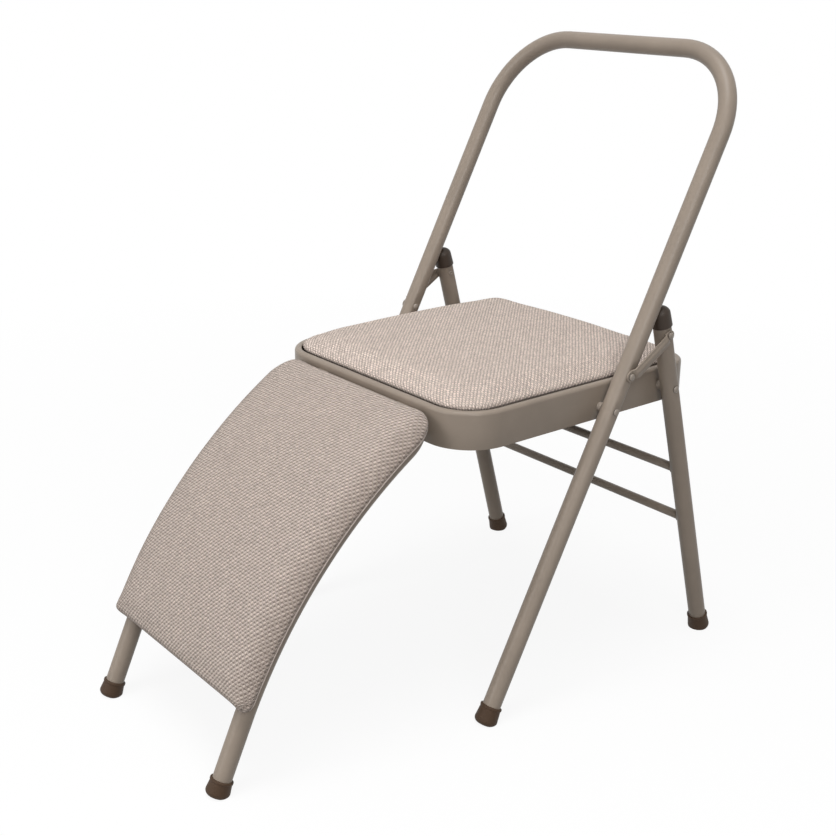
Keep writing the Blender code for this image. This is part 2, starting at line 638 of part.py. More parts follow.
def offset_right(profile, distance):
    """Moves a profile sideways by a sheet's thickness, mitred at its corners."""
    moved = []
    for k, point in enumerate(profile):
        before = Vector(point) - Vector(profile[k - 1]) if k else None
        after = Vector(profile[k + 1]) - Vector(point) if k + 1 < len(profile) else None
        normals = [Vector((d.y, -d.x)).normalized() for d in (before, after) if d]
        middle = sum(normals, Vector((0.0, 0.0))).normalized()
        moved.append(tuple(Vector(point) + middle * distance / middle.dot(normals[0])))
    return moved


def pan_profile():
    """The pan's outer face from the tip of its hem to its raised middle, as (inset, height) points."""
    r, w = PAN_RIM_RADIUS, PAN_RIM_WIDTH
    profile = [(PAN_HEM, -PAN_DEPTH), (PAN_SHEET, -PAN_DEPTH), (0.0, -PAN_DEPTH + PAN_SHEET)]
    for k in range(4):
        angle = k * pi / 6
        profile.append((r * (1 - cos(angle)), -r * (1 - sin(angle))))
    s = PAN_RECESS_RADIUS
    for k in range(3):
        angle = k * pi / 4
        profile.append((w - s * (1 - sin(angle)), -s * (1 - cos(angle))))
    profile += [(w, -PAN_RECESS + PAN_SHEET), (w + PAN_SHEET, -PAN_RECESS)]
    raised = (PAN_FIELD_INSET + PAN_FIELD_SLOPE, -PAN_RECESS + PAN_FIELD_RISE)
    return profile + [(PAN_FIELD_INSET, -PAN_RECESS), raised]


def make_pan():
    face = pan_profile()
    back = offset_right(face, PAN_SHEET)
    rings = [outline(inset, RIM + height) for inset, height in list(reversed(back)) + face]
    pan = add_piece("seat_pan", loft(rings), "paint", "seat")
    cut(pan, pin_hole(SEAT_PIVOT), "hoop_pivot", "seat")
    cut(pan, pin_hole(LEG_PIVOT), "leg_pivot", "seat")
    holes = bmesh.new()
    for _, x, y in seat_screw_places():
        through = Vector((0, 0, PAN_RECESS))
        centre = Vector((x, y, PAN_FLOOR))
        drill = rod(centre - through, centre + through, SCREW_RADIUS + GAP, SCREW_SIDES, (0, 1, 0))
        merge_into(holes, drill)
    cut(pan, holes, "screws", "seat")
    return pan


def merge_into(shape, other):
    """Adds another shape's faces as a separate body, and frees it."""
    scratch = bpy.data.meshes.new("scratch")
    other.to_mesh(scratch)
    other.free()
    shape.from_mesh(scratch)
    bpy.data.meshes.remove(scratch)


def seat_screw_places():
    x = PAN_HALF_WIDTH - SEAT_SCREW_INSET
    rows = {"front": PAN_FRONT_Y + SEAT_SCREW_INSET, "rear": PAN_REAR_Y - SEAT_SCREW_INSET}
    return [(row + "_" + side, hand * x, y) for side, hand in SIDES.items() for row, y in rows.items()]


def make_side_plates():
    """Flat plates inside the pan's skirt that carry the four pivots."""
    under = PAN_FLOOR - PAN_SHEET - GAP
    low = RIM - PAN_DEPTH + PAN_SHEET + GAP
    outer = PAN_HALF_WIDTH - PAN_SHEET - GAP
    for side, hand in SIDES.items():
        near, far = sorted((hand * (outer - PLATE_THICKNESS), hand * outer))
        y0, y1 = SEAT_PIVOT.x - PLATE_MARGIN, PAN_REAR_Y - PAN_REAR_RADIUS
        chamfer = (under - low) / 3
        rings = []
        for x in (near, far):
            corners = [(y0, low + chamfer), (y0 + chamfer, low), (y1 - chamfer, low), (y1, low + chamfer)]
            corners += [(y1, under - chamfer), (y1 - chamfer, under), (y0 + chamfer, under)]
            corners.append((y0, under - chamfer))
            rings.append([Vector((x, y, z)) for y, z in corners])
        plate = add_piece("side_plate_" + side, loft(rings), "paint", "seat")
        cut(plate, pin_hole(SEAT_PIVOT), "hoop_pivot", "seat")
        cut(plate, pin_hole(LEG_PIVOT), "leg_pivot", "seat")


def add_screw(name, point, direction, shaft, group):
    """A pan-head screw whose head bears at a point and whose shaft runs along a direction."""
    profile = list(reversed(dome(-GAP, SCREW_HEAD_HEIGHT, SCREW_HEAD_RADIUS, -1)))
    profile += [(-GAP, SCREW_RADIUS), (shaft, SCREW_RADIUS), (shaft, 0.0)]
    add_piece(name, turned(profile, point, direction, SCREW_SIDES), "zinc", group)


def board_hole(point, direction, depth):
    axis = Vector(direction).normalized()
    start = Vector(point) - SCREW_HEAD_HEIGHT * axis
    return rod(start, Vector(point) + (depth + GAP) * axis, SCREW_RADIUS + GAP, SCREW_SIDES, (1, 0, 0))


def make_seat_board():
    base = PAN_FLOOR + PAN_FIELD_RISE + GAP
    top = base + SEAT_BOARD_THICKNESS
    inset = SEAT_BOARD_INSET
    rings = [outline(inset, base), outline(inset, top - BOARD_CHAMFER), outline(inset + BOARD_CHAMFER, top)]
    board = add_piece("seat_board", loft(rings), "board", "seat")
    holes = bmesh.new()
    head = PAN_FLOOR - PAN_SHEET
    shaft = base + SCREW_BITE - head
    for name, x, y in seat_screw_places():
        add_screw("seat_screw_" + name, (x, y, head), (0, 0, 1), shaft, "seat")
        merge_into(holes, board_hole((x, y, head), (0, 0, 1), shaft))
    cut(board, holes, "screws", "seat")
    return top


def spread(count):
    """Evenly turned stations from -1 to 1, closer together towards the ends."""
    return [sin(pi / 2 * (2 * k / count - 1)) for k in range(count + 1)]


def rounded(x, y, half_x, half_y, radius):
    """Moves a point of a rectangle so that its corner becomes an arc."""
    over_x, over_y = abs(x) - (half_x - radius), abs(y) - (half_y - radius)
    if over_x <= 0 or over_y <= 0:
        return x, y
    share = max(over_x, over_y) / hypot(over_x, over_y)
    x = (half_x - radius + over_x * share) * (1 if x > 0 else -1)
    y = (half_y - radius + over_y * share) * (1 if y > 0 else -1)
    return x, y


def soft_edge(distance, reach):
    """How far a crowned edge has risen at a distance in from it, from 0 to 1."""
    return sqrt(1 - (1 - min(1.0, distance / reach)) ** 2)


def fill_grid(shape, rows):
    """Faces over a grid of corners. It returns the grid's border as one loop."""
    for row, above in zip(rows, rows[1:]):
        for i in range(len(row) - 1):
            shape.faces.new((row[i], row[i + 1], above[i + 1], above[i]))
    right = [row[-1] for row in rows[1:-1]]
    left = [row[0] for row in reversed(rows[1:-1])]
    return rows[0] + right + list(reversed(rows[-1])) + left


def join_loops(shape, loops):
    for near, far in zip(loops, loops[1:]):
        for i in range(len(near)):
            j = (i + 1) % len(near)
            shape.faces.new((near[i], near[j], far[j], far[i]))


def make_cushion(name, group, half_x, half_y, corners, steps, base, side, edge, crown, reach, drawn, place):
    """Builds a cushion from an upper sheet, a lower sheet and the rolled wall between them."""
    us, vs = spread(steps[0]), spread(steps[1])
    shape = bmesh.new()

    def plan(u, v, inset):
        hx = half_x - inset - drawn * (1 - v * v)
        hy = half_y - inset - drawn * (1 - u * u)
        radius = corners[0] if v < 0 else corners[1]
        return rounded(u * hx, v * hy, hx, hy, max(radius - inset, CUSHION_LEAST_RADIUS))

    def top(u, v):
        rise = soft_edge((1 - abs(u)) * half_x, reach) * soft_edge((1 - abs(v)) * half_y, reach)
        return base + side + edge * rise + crown * (1 - u * u) * (1 - v * v)

    def sheet(inset, height):
        rows = [[place(*plan(u, v, inset), height(u, v)) for u in us] for v in vs]
        return fill_grid(shape, [[shape.verts.new(point) for point in row] for row in rows])

    border = [(u, -1.0) for u in us] + [(1.0, v) for v in vs[1:-1]]
    border += [(u, 1.0) for u in reversed(us)] + [(-1.0, v) for v in reversed(vs[1:-1])]
    loops = [sheet(0.0, top)]
    for k in (1, 2):
        angle = k * pi / 6
        inset, height = side * (1 - cos(angle)), base + side * (1 - sin(angle))
        loops.append([shape.verts.new(place(*plan(u, v, inset), height)) for u, v in border])
    loops.append(sheet(side, lambda u, v: base))
    join_loops(shape, loops)
    return add_piece(name, shape, "fabric", group)


def make_seat_cushion(board_top):
    half_x = PAN_HALF_WIDTH - SEAT_CUSHION_INSET
    half_y = (PAN_REAR_Y - PAN_FRONT_Y) / 2 - SEAT_CUSHION_INSET
    middle = (PAN_REAR_Y + PAN_FRONT_Y) / 2
    corners = (PAN_FRONT_RADIUS - SEAT_CUSHION_INSET, PAN_REAR_RADIUS - SEAT_CUSHION_INSET)
    base = board_top + GAP
    side = RIM + SEAT_CUSHION_SIDE - base

    def place(x, y, height):
        return Vector((x, middle + y, height))

    make_cushion("seat_cushion", "seat", half_x, half_y, corners, (16, 16), base, side,
                 SEAT_CUSHION_EDGE, SEAT_CUSHION_CROWN, SEAT_CUSHION_ROUND, SEAT_CUSHION_DRAWN, place)


def hook_shape(x):
    """A J of strip steel: a flange on the pan's skirt, half a turn under the bar, and a lip in front."""
    radius = TUBE_RADIUS + HOOK_CLEARANCE
    outer = radius + HOOK_THICKNESS

    def bent(r):
        turn = [(r * cos(k * pi / 10), -r * sin(k * pi / 10)) for k in range(11)]
        return [(r, HOOK_FLANGE)] + turn + [(-r, HOOK_LIP)]

    section = bent(radius) + list(reversed(bent(outer)))
    rings = []
    for half in (-HOOK_WIDTH / 2, HOOK_WIDTH / 2):
        rings.append([Vector((x + half, EXT_BAR.x + y, EXT_BAR.y + z)) for y, z in section])
    return loft(rings)


def make_hooks(pan):
    """Each hook is held to the pan's skirt by one rivet above the bar."""
    face = PAN_FRONT_Y - GAP - HOOK_THICKNESS
    inside = PAN_FRONT_Y + PAN_SHEET
    height = EXT_BAR.y + HOOK_RIVET_UP
    holes = bmesh.new()
    for side, hand in SIDES.items():
        x = hand * HOOK_SPACING / 2
        hook = add_piece("extension_hook_" + side, hook_shape(x), "paint", "seat")
        profile = list(reversed(dome(face - GAP, HOOK_RIVET_HEIGHT, HOOK_RIVET_HEAD, -1)))
        profile += [(face - GAP, HOOK_RIVET_RADIUS), (inside + GAP, HOOK_RIVET_RADIUS)]
        profile += dome(inside + GAP, HOOK_RIVET_HEIGHT, HOOK_RIVET_HEAD, 1)
        rivet = turned(profile, (x, 0, height), (0, 1, 0), PIN_SIDES)
        add_piece("hook_rivet_" + side, rivet, "plated", "seat")
        reach = Vector((0, 2 * HOOK_THICKNESS, 0))
        start = Vector((x, face, height)) - reach
        bore = rod(start, Vector((x, inside, height)) + reach, HOOK_RIVET_RADIUS + GAP, PIN_SIDES)
        cut(hook, bore.copy(), "rivet", "seat")
        merge_into(holes, bore)
    cut(pan, holes, "hook_rivets", "seat")


def on_arc(distance, height, x=0.0):
    """A point over the extension's arc: distance runs up from where the arc starts, height out from it."""
    angle = EXT_LEG_SLOPE - distance / EXT_ARC_RADIUS
    reach = EXT_ARC_RADIUS + height
    return Vector((x, ARC_CENTRE.x - reach * sin(angle), ARC_CENTRE.y + reach * cos(angle)))


def make_extension_tube():
    """The inverted U: a straight leg, the arc, a bend, the top bar, and the same on the other side."""
    path = []
    down = Vector((0, -UP_EXT[0], -UP_EXT[1]))
    start = Vector((EXT_HALF_WIDTH, *ARC_START))
    path.append(start + (EXT_LEG - tube_end()) * down)
    arc_end = ARC_LENGTH - EXT_BEND_RADIUS
    for k in range(ARC_STEPS + 1):
        path.append(on_arc(arc_end * k / ARC_STEPS, 0.0, EXT_HALF_WIDTH))
    for k in range(1, BEND_STEPS + 1):
        angle = k * pi / 2 / BEND_STEPS
        inward = EXT_BEND_RADIUS * (1 - cos(angle))
        path.append(on_arc(arc_end + EXT_BEND_RADIUS * sin(angle), 0.0, EXT_HALF_WIDTH - inward))
    path += [Vector((-point.x, point.y, point.z)) for point in reversed(path)]
    shape = hollow_tube([(point, 0.0, 0.0) for point in path], TUBE_RADIUS, TUBE_WALL, TUBE_SIDES, (1, 0, 0))
    tube = add_piece("extension_tube", shape, "paint", "extension")
    for side, hand in SIDES.items():
        add_tip("extension_tip_" + side, down, (hand * EXT_HALF_WIDTH, *EXT_FOOT), "extension")
    return tube


def pad_ends():
    """Where the pad starts and stops along the arc. Its upper end stays clear of the pan's skirt."""
    reach = EXT_ARC_RADIUS + TUBE_RADIUS + GAP + EXT_PAD_SIDE
    top_angle = asin((ARC_CENTRE.x - (PAN_FRONT_Y - EXT_PAD_TOP_GAP)) / reach)
    return EXT_PAD_BOTTOM, EXT_ARC_RADIUS * (EXT_LEG_SLOPE - top_angle)


def curved_slab(half_x, half_y, corners, base, top, middle):
    """A plate that follows the arc between two heights, with rounded corners."""
    edge = 1 - max(corners) / half_x
    us = [-1.0, -(1 + edge) / 2, -edge, 0.0, edge, (1 + edge) / 2, 1.0]
    vs = spread(2 * ARC_STEPS)
    shape = bmesh.new()
    rims = []
    for height in (base, top):
        rows = []
        for v in vs:
            radius = corners[0] if v < 0 else corners[1]
            plan = [rounded(u * half_x, v * half_y, half_x, half_y, radius) for u in us]
            rows.append([shape.verts.new(on_arc(middle + y, height, x)) for x, y in plan])
        rims.append(fill_grid(shape, rows))
    join_loops(shape, rims)
    return shape


def make_extension_pad(tube):
    low, high = pad_ends()
    middle, half = (low + high) / 2, (high - low) / 2
    base = TUBE_RADIUS + GAP
    top = base + EXT_BOARD_THICKNESS
    corners = (EXT_BOTTOM_CORNER, EXT_TOP_CORNER)

    def board_shape(growth, lowest):
        shrink = EXT_BOARD_MARGIN - growth
        radii = [radius - shrink for radius in corners]
        return curved_slab(EXT_PAD_HALF_WIDTH - shrink, half - shrink, radii, lowest, top + growth, middle)

    board = add_piece("extension_board", board_shape(0.0, base), "board", "extension")
    holes = bmesh.new()
    for row, share in EXT_SCREW_PLACES.items():
        distance = low + share * (high - low)
        out = (on_arc(distance, 1.0) - on_arc(distance, 0.0)).normalized()
        for side, hand in SIDES.items():
            under = on_arc(distance, -TUBE_RADIUS, hand * EXT_HALF_WIDTH)
            shaft = TUBE_DIAMETER + GAP + SCREW_BITE
            add_screw("extension_screw_" + row + "_" + side, under, out, shaft, "extension")
            merge_into(holes, board_hole(under, out, shaft))
    cut(tube, holes.copy(), "screws", "extension")
    cut(board, holes, "screws", "extension")
    relief = TUBE_RADIUS + HOOK_CLEARANCE + HOOK_THICKNESS + HOOK_RELIEF
    for side, hand in SIDES.items():
        reach = HOOK_WIDTH / 2 + HOOK_RELIEF
        ends = [(hand * HOOK_SPACING / 2 + step, *EXT_BAR) for step in (-reach, reach)]
        cut(board, rod(*ends, relief, 2 * TUBE_SIDES), "hook_" + side, "extension")

    def place(x, y, height):
        return on_arc(middle + y, height, x)

    cushion = make_cushion("extension_cushion", "extension", EXT_PAD_HALF_WIDTH, half, corners, (14, 24),
                           base, EXT_PAD_SIDE, EXT_PAD_EDGE, EXT_PAD_CROWN, EXT_PAD_ROUND, EXT_PAD_DRAWN,
                           place)
    cut(cushion, board_shape(GAP, base - EXT_PAD_SIDE), "board", "extension")


def main():
    clear_scene()
    make_groups()
    make_hoop()
    make_rear_legs()
    make_links()
    pan = make_pan()
    make_side_plates()
    board_top = make_seat_board()
    make_seat_cushion(board_top)
    make_hooks(pan)
    tube = make_extension_tube()
    make_extension_pad(tube)


main()
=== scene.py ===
"""Dresses the folding yoga chair: finer tubes, pan, straps, rivets and tips, stuffed cushions in a plain weave,
finishes for every piece, and a plain pale stage."""

import json
from math import asin, cos, hypot, pi, radians, sin, sqrt

import bmesh
import bpy
import numpy as np
from bpy.props import FloatProperty, FloatVectorProperty, PointerProperty
from mathutils import Matrix, Quaternion, Vector

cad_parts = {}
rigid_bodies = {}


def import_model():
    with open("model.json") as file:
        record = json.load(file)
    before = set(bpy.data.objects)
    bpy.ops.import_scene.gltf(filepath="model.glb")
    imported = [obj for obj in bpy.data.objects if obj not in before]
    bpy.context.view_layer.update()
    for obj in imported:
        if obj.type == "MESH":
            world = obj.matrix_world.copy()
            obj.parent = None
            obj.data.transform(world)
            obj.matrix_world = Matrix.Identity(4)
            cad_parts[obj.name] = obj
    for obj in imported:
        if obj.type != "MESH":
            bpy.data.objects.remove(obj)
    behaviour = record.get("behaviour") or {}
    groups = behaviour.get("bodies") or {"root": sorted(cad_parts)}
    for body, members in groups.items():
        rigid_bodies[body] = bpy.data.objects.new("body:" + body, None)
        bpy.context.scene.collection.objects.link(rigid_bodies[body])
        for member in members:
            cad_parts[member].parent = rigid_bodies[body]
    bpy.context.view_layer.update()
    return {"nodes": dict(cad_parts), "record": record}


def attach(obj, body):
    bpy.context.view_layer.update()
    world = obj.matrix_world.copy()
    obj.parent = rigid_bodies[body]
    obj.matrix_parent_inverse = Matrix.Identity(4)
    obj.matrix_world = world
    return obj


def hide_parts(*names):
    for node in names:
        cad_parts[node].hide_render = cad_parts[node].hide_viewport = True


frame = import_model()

bl_info = {
    "name": "Folding yoga chair",
    "version": (1, 0, 0),
    "blender": (4, 5, 0),
    "location": "3D View > Sidebar > Yoga Chair",
    "description": "Models and finishes a folding yoga chair with a curved padded extension",
    "category": "Add Mesh",
}

JOINTS = {joint["name"]: Vector(joint["pos_m"]) for joint in frame["record"]["behaviour"]["joints"]}
SEAT_PIVOT = JOINTS["seat_fold"]
LEG_PIVOT = JOINTS["rear_leg_fold"]
LINK_REAR = JOINTS["left_link_fold"]
EXT_BAR = JOINTS["extension_swing"]
HANDS = (1, -1)  # signs of X on the left and on the right
GAP = 0.0003  # between pieces that touch
NEARLY = 0.0001  # slack of a test on a place
TUBE_SIDES = 48
FINE_SIDES = 32
TUBE_START = 0.0108  # from the floor to a tube's end inside its rubber tip
PIVOT_FLAT = 0.009  # half the length of the flat under a pivot rivet
LINK_FLAT = 0.018  # and under a strap's rivet
PLATE = 0.0025  # sheet of the seat's side plates
BOARD = 0.0060  # thickness of the seat board
BOOT_WALL = 0.0015
ACROSS = Vector((1, 0, 0))

FINISHES = {
    "frame_paint": "powder coat", "rivet_steel": "rivet paint", "tip_rubber": "rubber",
    "boot_plastic": "moulding", "board_wood": "plywood", "seat_fabric": "welt", "screw_steel": "zinc",
}


def metres(name, description, default):
    return FloatProperty(name=name, description=description, default=default, unit="LENGTH", precision=5)


def turn(name, description, degrees):
    return FloatProperty(name=name, description=description, default=radians(degrees), subtype="ANGLE")


def colour(name, description, default):
    return FloatVectorProperty(name=name, description=description, default=default, subtype="COLOR", min=0, max=1)


def share(name, description, default, most=1.0):
    return FloatProperty(name=name, description=description, default=default, min=0.0, max=most)


class ChairFrameSizes(bpy.types.PropertyGroup):
    """Steel tube, pivots and the parts that sit on them."""

    tube_radius: metres("Tube radius", "Outside radius of the frame tube", 0.0125)
    rung_radius: metres("Rung radius", "Outside radius of the rungs", 0.00635)
    hoop_length: metres("Hoop length", "Floor to the top bar's centre, along the lean", 0.9555)
    hoop_half_width: metres("Hoop half width", "Middle plane to a leg's centre", 0.2283)
    hoop_lean: turn("Hoop lean", "From upright, backwards", 27.85)
    hoop_bend: metres("Hoop bend", "Centre-line radius of the shoulders", 0.115)
    seat_pivot_up: metres("Seat pivot", "Floor to the seat pivot, along the hoop", 0.4490)
    link_pivot_up: metres("Link pivot", "Floor to the link pivot, along the hoop", 0.4995)
    rear_half_width: metres("Rear half width", "Middle plane to a rear leg's centre", 0.2290)
    rear_lean: turn("Rear lean", "From upright, forwards", 14.88)
    link_up_leg: metres("Link up the leg", "Leg pivot to link pivot, along the leg", 0.0835)
    leg_past_link: metres("Leg past the link", "Tube above the link pivot", 0.0165)
    upper_rung_drop: metres("Upper rung", "Below the leg pivot, along the leg", 0.1351)
    lower_rung_drop: metres("Lower rung", "Below the leg pivot, along the leg", 0.2193)
    flat_depth: metres("Flat depth", "How deep a tube is pressed flat at a rivet", 0.0015)
    flat_fade: metres("Flat fade", "Length over which a flat runs out", 0.006)
    rivet_radius: metres("Rivet radius", "Shank of a rivet", 0.0031)
    rivet_head: metres("Rivet head", "Radius of a rivet's head", 0.0050)
    rivet_height: metres("Rivet height", "Height of a rivet's head", 0.0026)
    link_width: metres("Link width", "Width of a strap", 0.0150)
    link_thickness: metres("Link thickness", "Sheet of a strap", 0.0022)
    link_seat: metres("Link seat", "Flat past a pivot, before the step out", 0.0053)
    link_step: metres("Link step", "Length of the step out", 0.0035)
    link_rib: metres("Link rib", "Height of the pressed rib", 0.0012)


class ChairPanSizes(bpy.types.PropertyGroup):
    """The pressed seat pan."""

    half_width: metres("Half width", "Middle plane to the skirt", 0.2098)
    front: metres("Front", "Seat pivot to the skirt's front", 0.2398)
    rear: metres("Rear", "Seat pivot to the skirt's rear", 0.1890)
    top: metres("Top", "Seat pivot to the rim", 0.0336)
    depth: metres("Depth", "Rim to hem", 0.0502)
    sheet: metres("Sheet", "Thickness of the steel", 0.0012)
    front_radius: metres("Front corner", "Radius in plan", 0.066)
    rear_radius: metres("Rear corner", "Radius in plan", 0.045)
    rim_width: metres("Rim width", "Skirt to the recess", 0.0105)
    rim_radius: metres("Rim radius", "Roll of the rim's outer edge", 0.0050)
    recess: metres("Recess", "Rim to the field under the board", 0.0140)
    recess_radius: metres("Recess radius", "Roll of the rim's inner edge", 0.0030)
    hem: metres("Hem", "Width of the turned-in lower edge", 0.0075)
    field_inset: metres("Field inset", "Skirt to the raised field", 0.060)
    field_rise: metres("Field rise", "Height of the raised field", 0.0025)


class ChairExtensionSizes(bpy.types.PropertyGroup):
    """The extension's bent tube and the pad on it."""

    half_width: metres("Half width", "Middle plane to a leg's centre", 0.1451)
    arc_radius: metres("Arc radius", "Centre line of the curved legs", 0.7020)
    top_slope: turn("Top slope", "Slope of the arc at the top bar", 31.0)
    leg_slope: turn("Leg slope", "Slope of the straight legs", 65.3)
    bend: metres("Corner bend", "Centre-line radius of the upper corners", 0.0435)
    pad_half_width: metres("Pad half width", "Middle plane to the pad's side", 0.1730)
    pad_bottom: metres("Pad bottom", "Lower end past the start of the arc", 0.0180)
    pad_gap: metres("Pad gap", "Pad's upper end to the pan's skirt", 0.0090)
    pad_past: metres("Pad past", "How far the soft upper end stands past the firm one", 0.0062)
    top_corner: metres("Top corner", "Radius of the pad's upper corners", 0.044)
    bottom_corner: metres("Bottom corner", "Radius of the pad's lower corners", 0.016)
    welt_radius: metres("Welt radius", "Cord sewn round the pad's underside", 0.0009)
    hook_spacing: metres("Hook spacing", "Between the middles of the two hooks", 0.180)
    hook_width: metres("Hook width", "Along the top bar", 0.022)
    hook_reach: metres("Hook reach", "From the top bar's skin to the hook's outside", 0.0024)
    hook_relief: metres("Hook relief", "Room that the pad leaves round a hook", 0.0010)


class ChairCushionSizes(bpy.types.PropertyGroup):
    """Stuffing and cloth."""

    voxel: metres("Voxel", "Mesh size before the cushions are filled", 0.004)
    pressure: FloatProperty(name="Pressure", description="Air pressure inside a cushion", default=4.0)
    swell: metres("Swell", "The most that filling may move a point", 0.0050)
    slack: metres("Slack", "How much lower a cushion starts", 0.0015)
    thread: metres("Thread", "Spacing of the yarns", 0.0031)
    pad_stretch: FloatProperty(name="Pad stretch", description="How much the pad's cloth is drawn out", default=1.28)


class ChairFinishes(bpy.types.PropertyGroup):
    """Colours, as linear values."""

    paint: colour("Paint", "Satin powder coat", (0.254, 0.209, 0.169))
    rivet: colour("Rivets", "Painted rivet heads", (0.285, 0.243, 0.205))
    rubber: colour("Rubber", "Tips", (0.052, 0.028, 0.014))
    moulding: colour("Moulding", "Boots", (0.036, 0.023, 0.015))
    cloth: colour("Cloth", "Face of the yarns", (0.860, 0.724, 0.643))
    # Painted shade: the dark colour painted into the pockets between the yarns.
    cloth_gap: colour("Painted pocket shade", "Between the yarns", (0.130, 0.100, 0.078))
    ply: colour("Ply", "Face of the boards", (0.420, 0.290, 0.170))
    ply_dark: colour("Ply, dark", "Grain and glue lines", (0.250, 0.160, 0.085))
    zinc: colour("Zinc", "Screws", (0.560, 0.560, 0.550))


class ChairStage(bpy.types.PropertyGroup):
    """Camera, lamps and floor."""

    camera_place: FloatVectorProperty(name="Camera", description="Place of the camera", subtype="XYZ",
                                      unit="LENGTH", default=(1.3434, -1.04547, 0.9670))
    camera_azimuth: turn("Azimuth", "Camera's bearing from the front", 51.4965)
    camera_elevation: turn("Elevation", "Camera's height above the horizon", 19.678)
    camera_roll: turn("Roll", "Camera's roll", 0.2086)
    lens: FloatProperty(name="Lens", description="Focal length in millimetres", default=55.944)
    sky: share("Sky", "Light from straight above", 0.70, 2.0)
    horizon: share("Horizon", "Light from the horizon and below it", 0.09, 2.0)
    key: share("Front lamp", "Watts of the large lamp in front", 120.0, 2000.0)
    beside: share("Side lamp", "Watts of the lamp on the camera's side", 37.0, 2000.0)
    above: share("Top lamp", "Watts of the lamp overhead", 272.0, 2000.0)
    floor_size: metres("Floor", "Width of the floor", 60.0)


def clamp(value):
    return min(1.0, max(0.0, value))


def nothing_selected():
    """Leaves edit mode and deselects everything, the frame's nodes too."""
    if bpy.context.object and bpy.context.object.mode != "OBJECT":
        leave()
    bpy.ops.object.select_all(action="DESELECT")


def only(piece):
    nothing_selected()
    piece.select_set(True)
    bpy.context.view_layer.objects.active = piece


def freeze():
    """Moves the active piece's place, turn and size into its mesh."""
    bpy.ops.object.transform_apply(location=True, rotation=True, scale=True)


def named(name):
    """Names the primitive that was just added, and freezes it."""
    piece = bpy.context.object
    piece.name = name
    piece.data.name = name
    freeze()
    return piece


def choose_all():
    bpy.ops.mesh.select_all(action="SELECT")


def leave():
    """Back to object mode."""
    bpy.ops.object.mode_set(mode="OBJECT")


def edit():
    bpy.ops.object.mode_set(mode="EDIT")
    bpy.ops.mesh.select_mode(type="VERT")
    choose_all()


def choose(kind, test):
    """In edit mode, selects only the corners, edges or faces whose middle passes a test."""
    bpy.ops.mesh.select_mode(type=kind)
    bpy.ops.mesh.select_all(action="DESELECT")
    mesh = bpy.context.object.data
    shape = bmesh.from_edit_mesh(mesh)
    if kind == "VERT":
        for corner in shape.verts:
            corner.select_set(test(corner.co))
    elif kind == "EDGE":
        for side in shape.edges:
            side.select_set(test((side.verts[0].co + side.verts[1].co) / 2))
    else:
        for face in shape.faces:
            face.select_set(test(face.calc_center_median()))
    shape.select_flush_mode()
    bmesh.update_edit_mesh(mesh)


def reshape(piece, moved):
    """In edit mode, puts each corner where moved(its place) says."""
    shape = bmesh.from_edit_mesh(piece.data)
    for corner in shape.verts:
        corner.co = moved(corner.co)
    bmesh.update_edit_mesh(piece.data)


def grow(offset):
    bpy.ops.mesh.extrude_region_move(TRANSFORM_OT_translate={"value": tuple(offset)})


def close_ends():
    """Fills the open ends and turns every face outwards."""
    bpy.ops.mesh.select_mode(type="VERT")
    bpy.ops.mesh.select_all(action="DESELECT")
    bpy.ops.mesh.select_non_manifold()
    bpy.ops.mesh.fill_holes(sides=0)
    face_out()


def face_out():
    choose_all()
    bpy.ops.mesh.normals_make_consistent(inside=False)
    leave()


def apply_modifiers(piece):
    only(piece)
    for modifier in list(piece.modifiers):
        bpy.ops.object.modifier_apply(modifier=modifier.name)


def cut_away(piece, *cutters):
    """Subtracts closed meshes from a piece and deletes them."""
    for cutter in cutters:
        carve = piece.modifiers.new(cutter.name, "BOOLEAN")
        carve.operation = "DIFFERENCE"
        carve.solver = "EXACT"
        carve.object = cutter
    apply_modifiers(piece)
    for cutter in cutters:
        bpy.data.objects.remove(cutter)


def soften(piece, width, angle, segments=2):
    """Rounds the edges sharper than an angle."""
    bevel = piece.modifiers.new("soft edges", "BEVEL")
    bevel.width = width
    bevel.segments = segments
    bevel.limit_method = "ANGLE"
    bevel.angle_limit = radians(angle)
    apply_modifiers(piece)


def shade(piece, angle=32.0):
    only(piece)
    bpy.ops.object.shade_smooth_by_angle(angle=radians(angle))


def turned(name, profile, sides=FINE_SIDES):
    """Models a turned shape about Z: a circle that is extruded and resized through (height, radius) steps."""
    (height, radius), rest = profile[0], profile[1:]
    nothing_selected()
    bpy.ops.mesh.primitive_circle_add(vertices=sides, radius=radius, location=(0, 0, height))
    piece = named(name)
    edit()
    for next_height, next_radius in rest:
        grow((0, 0, next_height - height))
        factor = next_radius / radius
        if abs(factor - 1) > 1e-6:
            bpy.ops.transform.resize(value=(factor, factor, 1), center_override=(0, 0, next_height))
        height, radius = next_height, next_radius
    close_ends()
    return piece


def stand(piece, place, axis):
    """Stands a piece that was modelled about Z along an axis at a place."""
    only(piece)
    heading = Vector(axis).to_track_quat("Z", "Y").to_matrix().to_4x4()
    piece.matrix_world = Matrix.Translation(place) @ heading
    freeze()


def mirrored(piece, name):
    """A copy on the other side of the middle plane, with its own mesh."""
    only(piece)
    bpy.ops.object.duplicate(linked=False)
    bpy.context.object.scale.x = -1
    twin = named(name)
    edit()
    face_out()
    return twin


def settle(piece, slot, body, *nodes, finish=None):
    """Gives a piece its finish, its body and the node that it stands for."""
    piece.data.materials.clear()
    piece.data.materials.append(bpy.data.materials[finish or FINISHES[slot]])
    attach(piece, body)
    if nodes:
        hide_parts(*nodes)


def both_sides(piece, stem, slot, body, node):
    """Mirrors a left-hand piece and settles both. body and node may have a blank for the side."""
    twin = mirrored(piece, stem + "_right")
    for side, one in (("left", piece), ("right", twin)):
        settle(one, slot, body.format(side), node.format(side))


